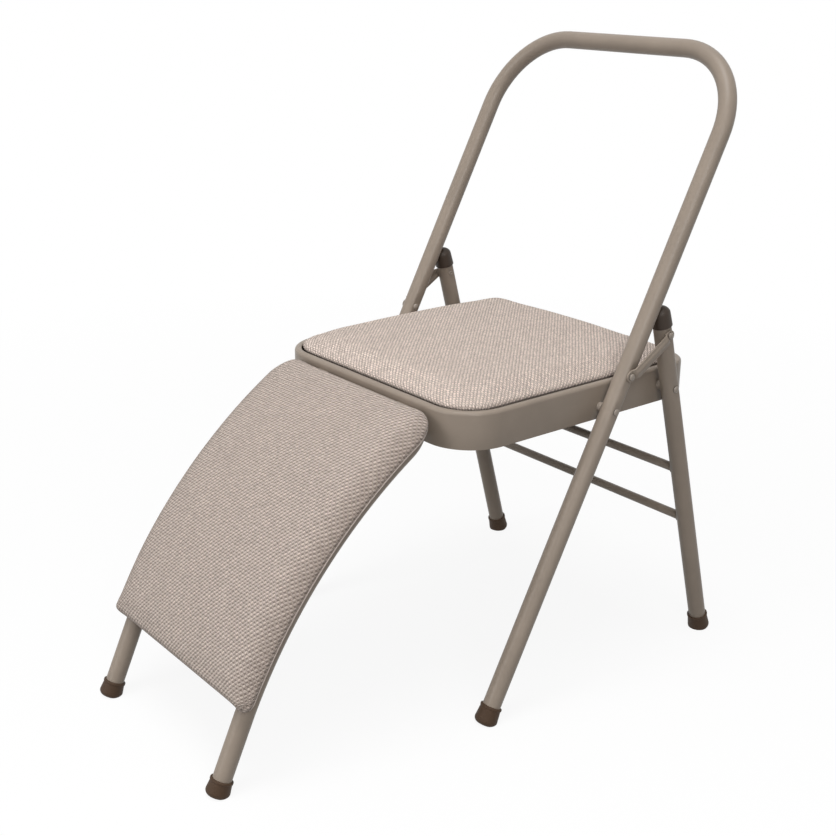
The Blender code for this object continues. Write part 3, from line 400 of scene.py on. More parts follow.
def start_tube(name, point, heading, radius, sides=TUBE_SIDES):
    nothing_selected()
    lie = Vector(heading).to_track_quat("Z", "Y").to_euler()
    bpy.ops.mesh.primitive_circle_add(vertices=sides, radius=radius, location=point, rotation=lie)
    piece = named(name)
    edit()
    return piece


def run(point, heading, lengths):
    """Extrudes the open end of a tube along its heading, and returns where it stops."""
    for length in lengths:
        grow(heading * length)
        point = point + heading * length
    return point


def bend(point, heading, towards, radius, angle, steps):
    """Spins the open end of a tube towards a side, and returns its new place and heading. The operator turns the
    other way round its axis than a quaternion."""
    centre = point + towards * radius
    axis = heading.cross(towards)
    bpy.ops.mesh.spin(steps=steps, angle=-angle, center=centre, axis=axis)
    swing = Quaternion(axis, angle)
    return centre + swing @ (point - centre), swing @ heading


def coin(middle_x, radius, depth, inside):
    """Presses a tube flat on both sides of its middle wherever a test holds."""
    for side in (-1, 1):
        plane = middle_x + side * (radius - depth)
        choose("VERT", lambda co: inside(co) and (co.x - plane) * side > 0)
        bpy.ops.transform.resize(value=(0, 1, 1), center_override=(plane, 0, 0))


def stations(*places):
    """Steps along a tube from a sorted list of places."""
    places = sorted(places)
    return [far - near for near, far in zip(places, places[1:])]


def flat_marks(place, reach, fade):
    """Where a tube needs corners round a pressed flat."""
    return [place - reach - fade, place - reach, place, place + reach, place + reach + fade]


def hoop_lines(context):
    s = context.scene.chair_frame
    up = Vector((0, sin(s.hoop_lean), cos(s.hoop_lean)))
    return s, up, SEAT_PIVOT - up * s.seat_pivot_up


def leg_lines(context):
    s = context.scene.chair_frame
    up = Vector((0, -sin(s.rear_lean), cos(s.rear_lean)))
    return s, up, LEG_PIVOT - up * (LEG_PIVOT.z / up.z)


class CHAIR_OT_hoop(bpy.types.Operator):
    """Bends the hoop that makes both front legs and the back, and presses its rivet seats flat"""

    bl_idname = "chair.hoop"
    bl_label = "Hoop"

    def execute(self, context):
        s, up, foot = hoop_lines(context)
        half, fade = s.hoop_half_width, s.flat_fade
        seats = ((s.seat_pivot_up, PIVOT_FLAT), (s.link_pivot_up, LINK_FLAT))
        marks = [TUBE_START, s.hoop_length - s.hoop_bend]
        for place, reach in seats:
            marks += flat_marks(place, reach, fade)
        marks += [0.12, 0.24, 0.36, 0.60, 0.70, 0.78]
        steps = stations(*marks)
        point = foot + half * ACROSS + up * TUBE_START
        piece = start_tube("hoop_bent_tube", point, up, s.tube_radius)
        point = run(point, up, steps)
        point, heading = bend(point, up, -ACROSS, s.hoop_bend, pi / 2, 20)
        bar = 2 * (half - s.hoop_bend)
        point = run(point, heading, [bar / 4] * 4)
        point, heading = bend(point, heading, -up, s.hoop_bend, pi / 2, 20)
        run(point, heading, list(reversed(steps)))
        for hand in HANDS:
            def pressed(co, hand=hand):
                along = (co - foot).dot(up)
                return co.x * hand > 0 and any(abs(along - place) < reach + NEARLY for place, reach in seats)
            coin(hand * half, s.tube_radius, s.flat_depth, pressed)
        close_ends()
        shade(piece)
        settle(piece, "frame_paint", "hoop_frame", "hoop_tube")
        return {"FINISHED"}


class CHAIR_OT_rear_legs(bpy.types.Operator):
    """Makes the rear legs, the two rungs between them and the weld beads round the rungs' ends"""

    bl_idname = "chair.rear_legs"
    bl_label = "Rear legs and rungs"

    def execute(self, context):
        s, up, foot = leg_lines(context)
        half, fade = s.rear_half_width, s.flat_fade
        to_pivot = LEG_PIVOT.z / up.z
        top = to_pivot + s.link_up_leg + s.leg_past_link
        link = to_pivot + s.link_up_leg
        marks = [TUBE_START, 0.1, 0.2, 0.3, top]
        marks += flat_marks(to_pivot, PIVOT_FLAT, fade) + flat_marks(link, LINK_FLAT, fade)[:3]
        point = foot + half * ACROSS + up * TUBE_START
        piece = start_tube("rear_leg_tube_left", point, up, s.tube_radius)
        run(point, up, stations(*marks))

        def pressed(co):
            along = (co - foot).dot(up)
            return abs(along - to_pivot) < PIVOT_FLAT + NEARLY or along > link - LINK_FLAT - NEARLY
        coin(half, s.tube_radius, s.flat_depth, pressed)
        close_ends()
        shade(piece)
        both_sides(piece, "rear_leg_tube", "frame_paint", "rear_legs", "rear_leg_{}")

        for node, drop in (("upper_rung", s.upper_rung_drop), ("lower_rung", s.lower_rung_drop)):
            middle = LEG_PIVOT - up * drop
            reach = half - sqrt(s.tube_radius ** 2 - s.rung_radius ** 2) - GAP
            start = middle + reach * ACROSS
            rung = start_tube(node + "_tube", start, -ACROSS, s.rung_radius, FINE_SIDES)
            run(start, -ACROSS, [reach / 2] * 4)

            def saddle(co):
                """Ends that follow the legs' round sides."""
                off = (co - middle).dot(Vector((0, up.z, -up.y)))
                return half - sqrt(s.tube_radius ** 2 - min(abs(off), s.tube_radius) ** 2) - GAP

            def fitted(co):
                if abs(co.x) > 0.9 * reach:
                    return Vector((saddle(co) * (1 if co.x > 0 else -1), co.y, co.z))
                return co
            reshape(rung, fitted)
            close_ends()
            shade(rung)
            settle(rung, "frame_paint", "rear_legs", node)
            nothing_selected()
            bpy.ops.mesh.primitive_torus_add(major_segments=48, minor_segments=12, location=middle,
                                             rotation=(0, pi / 2, 0), major_radius=s.rung_radius + 0.0004,
                                             minor_radius=0.0013)
            bead = named(node + "_weld_left")
            edit()

            def lumpy(co):
                """The bead lies in the corner between rung and leg, and swells and thins as it goes round."""
                off = co - middle
                round_about = off.z * 900 + off.y * 700
                lump = 1 + 0.10 * sin(round_about) + 0.06 * sin(2.7 * round_about + 1)
                return Vector((saddle(co) - 0.0006 + co.x * lump, co.y, co.z))
            reshape(bead, lumpy)
            face_out()
            shade(bead, 60)
            twin = mirrored(bead, node + "_weld_right")
            for one in (bead, twin):
                settle(one, "frame_paint", "rear_legs")
        return {"FINISHED"}


class CHAIR_OT_tips(bpy.types.Operator):
    """Turns the six rubber tips, leans each with its leg and cuts its sole flat on the floor"""

    bl_idname = "chair.tips"
    bl_label = "Rubber tips"

    def execute(self, context):
        s = context.scene.chair_frame
        e = context.scene.chair_extension
        _, up_hoop, hoop_foot = hoop_lines(context)
        _, up_leg, leg_foot = leg_lines(context)
        up_ext, ext_foot = extension_leg(e)
        bore = s.tube_radius + GAP
        round_off, sole, low = 0.0070, 0.0158, -0.0020  # of the sole: edge, radius, and depth that is cut off
        profile = []
        for k in range(6, -1, -1):
            angle = k * pi / 12
            profile.append((low + round_off * (1 - sin(angle)), sole - round_off * (1 - cos(angle))))
        collar = ((-0.0038, 0.0142), (-0.0032, 0.0150), (-0.0008, 0.0150), (-0.0001, 0.0147), (0.0, 0.0142),
                  (0.0, bore), (-0.0050, bore))  # (up from the mouth, radius)
        high, short = 0.0250, 0.0210  # mouths above the floor
        places = (("hoop_tip", up_hoop, hoop_foot, s.hoop_half_width, "hoop_frame", high),
                  ("rear_tip", up_leg, leg_foot, s.rear_half_width, "rear_legs", high),
                  ("extension_tip", up_ext, ext_foot, e.half_width, "extension", short))
        for stem, up, foot, half, body, mouth in places:
            steps = profile + [(mouth + up_from, radius) for up_from, radius in collar]
            tip = turned(stem + "_rubber_left", steps, TUBE_SIDES)
            soften(tip, 0.0003, 40)
            stand(tip, foot + half * ACROSS, up)
            edit()
            bpy.ops.mesh.bisect(plane_co=(0, 0, 0), plane_no=(0, 0, 1), use_fill=True, clear_inner=True)
            face_out()
            shade(tip, 40)
            both_sides(tip, stem + "_rubber", "tip_rubber", body, stem + "_{}")
        return {"FINISHED"}


class CHAIR_OT_boots(bpy.types.Operator):
    """Turns the boots on the rear legs' top ends and scoops them where they bear on the hoop"""

    bl_idname = "chair.boots"
    bl_label = "Boots"

    def execute(self, context):
        s, up, foot = leg_lines(context)
        _, up_hoop, hoop_foot = hoop_lines(context)
        bore = s.tube_radius + GAP
        outside = bore + BOOT_WALL
        rise, dome_height, taper = 0.0245, 0.0107, 0.0008
        profile = [(0.0010, bore), (-0.0045, bore), (-0.0045, outside - 0.0003), (-0.0042, outside)]
        for k in range(9):
            angle = k * pi / 18
            profile.append((rise - dome_height * (1 - sin(angle)), (outside - taper) * max(cos(angle), 0.02)))
        top = LEG_PIVOT + up * (s.link_up_leg + s.leg_past_link) + s.rear_half_width * ACROSS
        boot = turned("boot_left", profile, TUBE_SIDES)
        stand(boot, top, up)
        middle = (top - hoop_foot).dot(up_hoop)
        beside = hoop_foot + up_hoop * middle + s.hoop_half_width * ACROSS
        back = Vector((0, up_hoop.z, -up_hoop.y))
        reach = 0.08
        cutters = []
        for axis, place, sides, radius, depth in ((up_hoop, beside, 96, bore, 1.5 * reach),
                                                  (back, beside - back * reach / 2, 24, 0.05, reach)):
            nothing_selected()
            lie = axis.to_track_quat("Z", "Y").to_euler()
            bpy.ops.mesh.primitive_cylinder_add(vertices=sides, radius=radius, depth=depth, location=place,
                                                rotation=lie)
            cutters.append(named("boot_scoop"))
        cut_away(boot, *cutters)
        only(boot)
        edit()
        bpy.ops.mesh.remove_doubles(threshold=0.00002)
        face_out()
        shade(boot, 35)
        both_sides(boot, "boot", "boot_plastic", "rear_legs", "leg_boot_{}")
        return {"FINISHED"}


class CHAIR_OT_links(bpy.types.Operator):
    """Presses the straps between the hoop and the rear legs, stepped out past their ends and ribbed"""

    bl_idname = "chair.links"
    bl_label = "Straps"

    def execute(self, context):
        s, up_hoop, foot = hoop_lines(context)
        front = foot + up_hoop * s.link_pivot_up
        length = (LINK_REAR - front).length
        half = s.link_width / 2
        nothing_selected()
        bpy.ops.mesh.primitive_plane_add(size=1, location=(length / 2, 0, 0))
        link = bpy.context.object
        link.scale = (length + 2 * half, 2 * half, 1)
        link = named("strap_left")
        edit()
        bpy.ops.mesh.bevel(offset=half * 0.9999, segments=16, affect="VERTICES", clamp_overlap=False)
        choose_all()
        bpy.ops.mesh.remove_doubles(threshold=0.00001)
        seat_front = s.hoop_half_width + s.tube_radius - s.flat_depth + GAP
        seat_rear = s.rear_half_width + s.tube_radius - s.flat_depth + GAP
        plane = s.rear_half_width + s.tube_radius + GAP + BOOT_WALL + GAP
        run_out = 0.004  # of the rib, past the step
        rib_foot, rib_slope = 0.0034, 0.0018
        ends = (s.link_seat, s.link_seat + s.link_step)
        cuts = [ends[0], sum(ends) / 2, ends[1], length - ends[1], length - sum(ends) / 2, length - ends[0]]
        cuts += [length / 2, ends[1] + run_out, length - ends[1] - run_out]
        for x in cuts:
            choose_all()
            bpy.ops.mesh.bisect(plane_co=(x, 0, 0), plane_no=(1, 0, 0))
        for y in (-rib_foot, -0.0022, -0.0012, 0.0, 0.0012, 0.0022, rib_foot):
            choose_all()
            bpy.ops.mesh.bisect(plane_co=(0, y, 0), plane_no=(0, 1, 0))

        def pressed(co):
            near = min(co.x, length - co.x)
            lift = clamp((near - ends[0]) / s.link_step)
            lift = lift * lift * (3 - 2 * lift)
            seat = seat_front if co.x < length / 2 else seat_rear
            run_in = clamp((near - ends[0]) / (s.link_step + run_out))
            rise = s.link_rib * run_in * clamp((rib_foot - abs(co.y)) / rib_slope)
            return Vector((co.x, co.y, seat + lift * (plane - seat) + rise))
        reshape(link, pressed)
        leave()
        sheet = link.modifiers.new("sheet", "SOLIDIFY")
        sheet.thickness = s.link_thickness
        sheet.offset = 1
        apply_modifiers(link)
        soften(link, 0.0004, 50)
        along = (LINK_REAR - front).normalized()
        lay = Matrix((along, ACROSS.cross(along), ACROSS)).transposed().to_4x4()
        only(link)
        link.matrix_world = Matrix.Translation(front) @ lay
        freeze()
        edit()
        face_out()
        shade(link, 30)
        both_sides(link, "strap", "frame_paint", "{}_link", "link_{}")
        return {"FINISHED"}


def head(start, height, radius, sign):
    """(height, radius) steps of a low head with a small flat crown."""
    steps = [(0.0, 1.0), (0.22, 0.985), (0.45, 0.93), (0.68, 0.82), (0.86, 0.66), (0.96, 0.48), (1.0, 0.30)]
    return [(start + sign * height * up, radius * out) for up, out in steps]


def soil(piece, share_of):
    """Marks where a piece gets painted shade: share_of(point) is 0 where none is painted."""
    rim = piece.data.attributes.new("rim", "FLOAT", "POINT")
    for corner, mark in zip(piece.data.vertices, rim.data):
        mark.value = share_of(corner.co)


class CHAIR_OT_rivets(bpy.types.Operator):
    """Turns the rivets of the seat, rear legs and straps with a soft low head at each end"""

    bl_idname = "chair.rivets"
    bl_label = "Rivets"

    def execute(self, context):
        s, up_hoop, foot = hoop_lines(context)
        pan = context.scene.chair_pan
        hoop_flat = s.hoop_half_width + s.tube_radius - s.flat_depth
        leg_flat = s.rear_half_width + s.tube_radius - s.flat_depth
        leg_inside = s.rear_half_width - s.tube_radius + s.flat_depth
        plate = pan.half_width - pan.sheet - GAP - PLATE
        over = GAP + s.link_thickness
        front = foot + up_hoop * s.link_pivot_up
        hollow = [(0.0040, 0.0017), (-0.0010, 0.0017), (-0.0014, 0.0021), (-0.0012, 0.0030), (-0.0004, 0.0035)]
        rows = (("seat_pivot_rivet", SEAT_PIVOT, plate, hoop_flat, "hoop_frame", "domed"),
                ("leg_pivot_rivet", LEG_PIVOT, plate, leg_flat, "rear_legs", "domed"),
                ("link_rivet_rear", LINK_REAR, leg_inside, leg_flat + over, "rear_legs", "hollow"),
                ("link_rivet_front", front, hoop_flat + 2 * GAP, hoop_flat + over, "{}_link", "cut"))
        for stem, point, inner, outer, body, far_end in rows:
            profile = [(outer + GAP, s.rivet_radius)] + head(outer + GAP, s.rivet_height, s.rivet_head, 1)
            if far_end == "domed":
                inside = head(inner - GAP, s.rivet_height, s.rivet_head, -1)
                profile = list(reversed(inside)) + [(inner - GAP, s.rivet_radius)] + profile
            elif far_end == "hollow":
                inside = [(inner - GAP + along, radius) for along, radius in hollow]
                profile = inside + [(inner - GAP, s.rivet_radius)] + profile
            else:
                profile = [(inner, s.rivet_radius)] + profile
            rivet = turned(stem + "_turned_left", profile)
            stand(rivet, (0, point.y, point.z), ACROSS)
            shade(rivet, 40)
            # Painted shade: a dark ring at the head's edge, where it meets the tube.
            soil(rivet, lambda co: float(hypot(co.y - point.y, co.z - point.z) > 0.96 * s.rivet_head))
            both_sides(rivet, stem + "_turned", "rivet_steel", body, stem + "_{}")
        return {"FINISHED"}


class CHAIR_OT_pan(bpy.types.Operator):
    """Presses the seat pan: hem, deep skirt, rolled rim, recess and raised field"""

    bl_idname = "chair.pan"
    bl_label = "Seat pan"

    def execute(self, context):
        p = context.scene.chair_pan
        front, rear = SEAT_PIVOT.y - p.front, SEAT_PIVOT.y + p.rear
        rim = SEAT_PIVOT.z + p.top
        middle = Vector((0, (front + rear) / 2, rim - p.depth))
        nothing_selected()
        bpy.ops.mesh.primitive_plane_add(size=1, location=middle)
        pan = bpy.context.object
        pan.scale = (2 * p.half_width, rear - front, 1)
        pan = named("pressed_pan")
        edit()
        for low, high, radius in ((-9, middle.y, p.front_radius), (middle.y, 9, p.rear_radius)):
            choose("VERT", lambda co: low < co.y < high and abs(co.x) > p.half_width - 1e-5
                   and min(abs(co.y - front), abs(co.y - rear)) < 1e-5)
            bpy.ops.mesh.bevel(offset=radius, segments=24, affect="VERTICES")
        bpy.ops.mesh.select_mode(type="FACE")
        choose_all()
        r, t = p.rim_radius, p.recess_radius
        skirt = (-p.depth, -p.depth / 2, -r)
        steps = []
        for k in range(1, 9):
            angle = k * pi / 16
            steps.append((r * (1 - cos(angle)), -r * (1 - sin(angle))))
        for k in range(5):
            angle = k * pi / 8
            steps.append((p.rim_width - t * (1 - sin(angle)), -t * (1 - cos(angle))))
        fillet = ((0.0, 0.0014), (0.0004, 0.0004), (0.0014, 0.0))  # at the recess's foot
        steps += [(p.rim_width + inward, up - p.recess) for inward, up in fillet]
        for low, high in zip(skirt, skirt[1:]):
            grow((0, 0, high - low))
        inset, height = 0.0, -r
        for next_inset, next_height in steps:
            if next_inset - inset > 1e-7:
                bpy.ops.mesh.inset(thickness=next_inset - inset, depth=next_height - height, use_even_offset=True)
            elif abs(next_height - height) > 1e-7:
                grow((0, 0, next_height - height))
            inset, height = next_inset, next_height
        slope = 0.004
        for next_inset, rise in ((p.field_inset, 0.0), (p.field_inset + slope, p.field_rise)):
            grow((0, 0, rise))
            factors = [(whole - next_inset) / (whole - inset) for whole in (p.half_width, (rear - front) / 2)]
            bpy.ops.transform.resize(value=(*factors, 1), center_override=middle)
            inset = next_inset
        choose("FACE", lambda co: co.z < rim - p.depth + 1e-6)
        bpy.ops.mesh.inset(thickness=p.hem, depth=0, use_even_offset=True)
        bpy.ops.mesh.delete(type="FACE")
        choose_all()
        bpy.ops.mesh.normals_make_consistent(inside=False)
        leave()
        tops = [face for face in pan.data.polygons if face.center.z > rim - 1.2 * p.recess]
        if sum(face.normal.z * face.area for face in tops) < 0:
            pan.data.flip_normals()
        sheet = pan.modifiers.new("sheet", "SOLIDIFY")
        sheet.thickness = p.sheet
        sheet.offset = -1
        sheet.use_even_offset = True
        apply_modifiers(pan)
        soften(pan, 0.0004, 50)
        shade(pan, 30)

        def recessed(co):
            """1 in the recess, where the paint takes painted shade, 0 on the rim and the skirt."""
            radius = p.front_radius if co.y < middle.y else p.rear_radius
            inside = edge_distance(co.x, co.y - middle.y, p.half_width, (rear - front) / 2, radius, (1.0, 1.0))
            past = 0.0010
            return clamp((rim - past - co.z) / 0.0015) if inside > p.rim_width - past else 0.0
        # Painted shade in the pan's recess round the cushion.
        soil(pan, recessed)
        settle(pan, "frame_paint", "seat", "seat_pan")
        return {"FINISHED"}


def extension_arc(e):
    """The arc's centre in side view, and the length along it from the straight legs to the top bar."""
    away = Vector((0, sin(e.top_slope), -cos(e.top_slope)))
    return EXT_BAR + e.arc_radius * away, e.arc_radius * (e.leg_slope - e.top_slope)


def on_arc(e, distance, height, x):
    """A point over the extension: distance runs up from where the arc starts, height out from the tubes' centre."""
    centre, _ = extension_arc(e)
    angle = e.leg_slope - max(distance, 0.0) / e.arc_radius
    out = Vector((0, -sin(angle), cos(angle)))
    along = Vector((0, cos(angle), sin(angle)))
    return centre + (e.arc_radius + height) * out + min(distance, 0.0) * along + x * ACROSS


def extension_leg(e):
    """Up direction of the extension's straight legs, and their foot on the floor in the middle plane."""
    up = Vector((0, cos(e.leg_slope), sin(e.leg_slope)))
    start = on_arc(e, 0.0, 0.0, 0.0)
    return up, start - up * (start.z / up.z)


def lay_on_arc(piece, e):
    """Bends a piece that was modelled flat, with Y up the legs and Z out from them."""
    only(piece)
    edit()
    reshape(piece, lambda co: on_arc(e, co.y, co.z, co.x))
    face_out()


class CHAIR_OT_extension_tube(bpy.types.Operator):
    """Bends the extension's inverted U flat, and then lays it on its arc"""

    bl_idname = "chair.extension_tube"
    bl_label = "Extension tube"

    def execute(self, context):
        s, e = context.scene.chair_frame, context.scene.chair_extension
        _, arc = extension_arc(e)
        up, foot = extension_leg(e)
        leg = on_arc(e, 0, 0, 0).z / up.z
        marks = stations(TUBE_START - leg, -0.10, -0.05, -0.005, 0.0)
        rise = [(arc - e.bend) / 24] * 24
        point, heading = Vector((e.half_width, TUBE_START - leg, 0)), Vector((0, 1, 0))
        piece = start_tube("extension_bent_tube", point, heading, s.tube_radius)
        point = run(point, heading, marks + rise)
        point, heading = bend(point, heading, -ACROSS, e.bend, pi / 2, 16)
        point = run(point, heading, [(e.half_width - e.bend) / 2] * 4)
        point, heading = bend(point, heading, Vector((0, -1, 0)), e.bend, pi / 2, 16)
        run(point, heading, rise + list(reversed(marks)))
        close_ends()
        lay_on_arc(piece, e)
        shade(piece)
        settle(piece, "frame_paint", "extension", "extension_tube")
        return {"FINISHED"}


def rounded(x, y, half_x, half_y, radius):
    """Moves a point of a rectangle so that its corner becomes an arc."""
    over_x, over_y = abs(x) - (half_x - radius), abs(y) - (half_y - radius)
    if over_x <= 0 or over_y <= 0:
        return x, y
    draw = max(over_x, over_y) / hypot(over_x, over_y)
    x = (half_x - radius + over_x * draw) * (1 if x > 0 else -1)
    y = (half_y - radius + over_y * draw) * (1 if y > 0 else -1)
    return x, y


def soft_edge(distance):
    """How far a crowned edge has risen at an edge_distance, from 0 to 1."""
    return sqrt(max(0.0, 1 - (1 - min(1.0, distance)) ** 2))


def edge_distance(x, y, half_x, half_y, radius, reaches):
    """How far a point lies inside a rectangle with round corners, as a share of how far the edge rolls in there:
    reaches holds that for the sides and for the ends."""
    over_x, over_y = abs(x) - (half_x - radius), abs(y) - (half_y - radius)
    out_x, out_y = max(over_x, 0.0), max(over_y, 0.0)
    distance = radius - hypot(out_x, out_y) - min(max(over_x, over_y), 0.0)
    if over_x > 0 and over_y > 0:
        side = out_x * out_x / max(out_x * out_x + out_y * out_y, 1e-12)
    else:
        side = 1.0 if over_x > over_y else 0.0
    return distance / (reaches[0] * side + reaches[1] * (1 - side))


def cushion_block(name, half, corners, side, edge, crown, reaches, drawn, slack):
    """A cube, subdivided and shaped flat: Z is height over the cushion's base, and its sides pull in between
    the corners. slack makes it that much lower, for the filling to take up."""
    half_x, half_y = half
    nothing_selected()
    bpy.ops.mesh.primitive_cube_add(size=2, location=(0, 0, 0))
    block = named(name)
    edit()
    bpy.ops.mesh.subdivide(number_cuts=63)
    tuck = 0.0035  # how far the sides roll in below

    def shaped(co):
        u, v = sin(pi / 2 * co.x), sin(pi / 2 * co.y)
        angle = (1 - min(1.0, co.z + 1)) * pi / 2
        inset = tuck * (1 - cos(angle))
        hx = half_x - inset - drawn * (1 - v * v)
        hy = half_y - inset - drawn * (1 - u * u)
        radius = max((corners[0] if v < 0 else corners[1]) - inset, 0.002)
        x, y = rounded(u * hx, v * hy, hx, hy, radius)
        rise = soft_edge(max(0.0, edge_distance(x, y, hx, hy, radius, reaches)))
        top = side + (edge + crown * (1 - u * u) * (1 - v * v) - slack) * rise
        return Vector((x, y, top if co.z > 0.999 else side * (1 - sin(angle))))
    reshape(block, shaped)
    choose_all()
    bpy.ops.mesh.remove_doubles(threshold=0.0001)
    face_out()
    return block


def corners_of(mesh):
    flat = np.empty(len(mesh.vertices) * 3, np.float32)
    mesh.vertices.foreach_get("co", flat)
    return flat.reshape(-1, 3)


def spread_evenly(mesh, moves, rounds=40):
    """Averages each point's move with its neighbours', so that no pucker of the cloth stays."""
    sides = np.empty(len(mesh.edges) * 2, np.int32)
    mesh.edges.foreach_get("vertices", sides)
    near, far = sides.reshape(-1, 2).T
    count = np.bincount(near, minlength=len(moves)) + np.bincount(far, minlength=len(moves))
    for _ in range(rounds):
        total = np.zeros_like(moves)
        np.add.at(total, near, moves[far])
        np.add.at(total, far, moves[near])
        moves = 0.5 * moves + 0.5 * total / np.maximum(count, 1)[:, None]
    return moves


def fill_cushion(cushion, sizes, free):
    """Remeshes a cushion, fills it with air for 20 frames and keeps each point within its swell. free(points) is
    0 where a point is held and 1 where it may move all the way."""
    only(cushion)
    cushion.data.remesh_voxel_size = sizes.voxel
    bpy.ops.object.voxel_remesh()
    rest = corners_of(cushion.data).copy()
    share_free = free(rest)
    held = cushion.vertex_groups.new(name="held")
    held.add([int(i) for i in np.nonzero(share_free < 0.05)[0]], 1.0, "REPLACE")
    filling = cushion.modifiers.new("filling", "CLOTH")
    filling.settings.quality = 5
    filling.settings.mass = 0.25
    filling.settings.use_pressure = True
    filling.settings.uniform_pressure_force = sizes.pressure
    filling.settings.effector_weights.gravity = 0.0
    filling.settings.vertex_group_mass = "held"
    filling.collision_settings.use_self_collision = False
    scene = bpy.context.scene
    for step in range(1, 21):
        scene.frame_set(step)
    apply_modifiers(cushion)
    scene.frame_set(1)
    cushion.vertex_groups.clear()
    moved = spread_evenly(cushion.data, corners_of(cushion.data) - rest)
    length = np.maximum(np.linalg.norm(moved, axis=1), 1e-9)
    within = np.minimum(length, sizes.swell) / length * share_free
    cushion.data.vertices.foreach_set("co", (rest + moved * within[:, None]).astype(np.float32).ravel())
    finer = cushion.modifiers.new("finer", "SUBSURF")
    finer.levels = finer.render_levels = 1
    apply_modifiers(cushion)
    shade(cushion, 70)


def lay_weave(cushion, half, radius, side, edge, reach, stretch):
    """Unrolls the cloth over the cushion's rolled edge and down its sides, so that the threads keep their
    spacing there. The cushion is still flat: Z is its height. stretch draws the threads apart along Y."""
    layer = cushion.data.uv_layers.new(name="weave")
    flat = corners_of(cushion.data)
    inner = np.array([half[0] - radius, half[1] - radius])
    over = flat[:, :2] - np.clip(flat[:, :2], -inner, inner)
    length = np.maximum(np.linalg.norm(over, axis=1), 1e-6)
    steps = np.linspace(0, 1, 65)
    rise = edge * np.sqrt(1 - (1 - steps) ** 2)
    pieces = np.hypot(np.diff(steps) * reach, np.diff(rise)) - np.diff(steps) * reach
    longer = np.append(np.cumsum(pieces[::-1])[::-1], 0.0)
    extra = np.interp((radius - length) / reach, steps, longer) + np.maximum(side - flat[:, 2], 0.0)
    unrolled = (flat[:, :2] + over * (extra / length)[:, None]) / np.array([1.0, stretch])
    loops = np.empty(len(cushion.data.loops), np.int32)
    cushion.data.loops.foreach_get("vertex_index", loops)
    layer.data.foreach_set("uv", unrolled[loops].astype(np.float32).ravel())


class CHAIR_OT_seat_cushion(bpy.types.Operator):
    """Shapes and fills the seat cushion, which rests on its board inside the pan's rim"""

    bl_idname = "chair.seat_cushion"
    bl_label = "Seat cushion"

    def execute(self, context):
        p, c = context.scene.chair_pan, context.scene.chair_cushions
        front, rear = SEAT_PIVOT.y - p.front, SEAT_PIVOT.y + p.rear
        inset = 0.0118  # from the skirt
        half = (p.half_width - inset, (rear - front) / 2 - inset)
        corners = (p.front_radius - inset, p.rear_radius - inset)
        rim = SEAT_PIVOT.z + p.top
        base = rim - p.recess + p.field_rise + GAP + BOARD + GAP
        side = rim + 0.0030 - base
        edge, crown, reaches, drawn = 0.0138, 0.0055, (0.034, 0.030), 0.0010
        cushion = cushion_block("seat_cushion_cloth", half, corners, side, edge, crown, reaches, drawn, c.slack)

        def free(points):
            above = np.clip((points[:, 2] - side) / 0.008, 0, 1)
            return np.where(points[:, 2] < 0.0015, 0.0, 0.10 + 0.90 * above)
        fill_cushion(cushion, c, free)
        lay_weave(cushion, half, radius=0.050, side=side, edge=0.0165, reach=reaches[0], stretch=1.0)
        # Painted shade on the cloth below the rim, in the gap between cushion and pan.
        soil(cushion, lambda co: clamp((rim + 0.0008 - base - co.z) / 0.0020))
        only(cushion)
        cushion.location = (0, (front + rear) / 2, base)
        freeze()
        settle(cushion, "seat_fabric", "seat", "seat_cushion", finish="woven cloth")
        return {"FINISHED"}


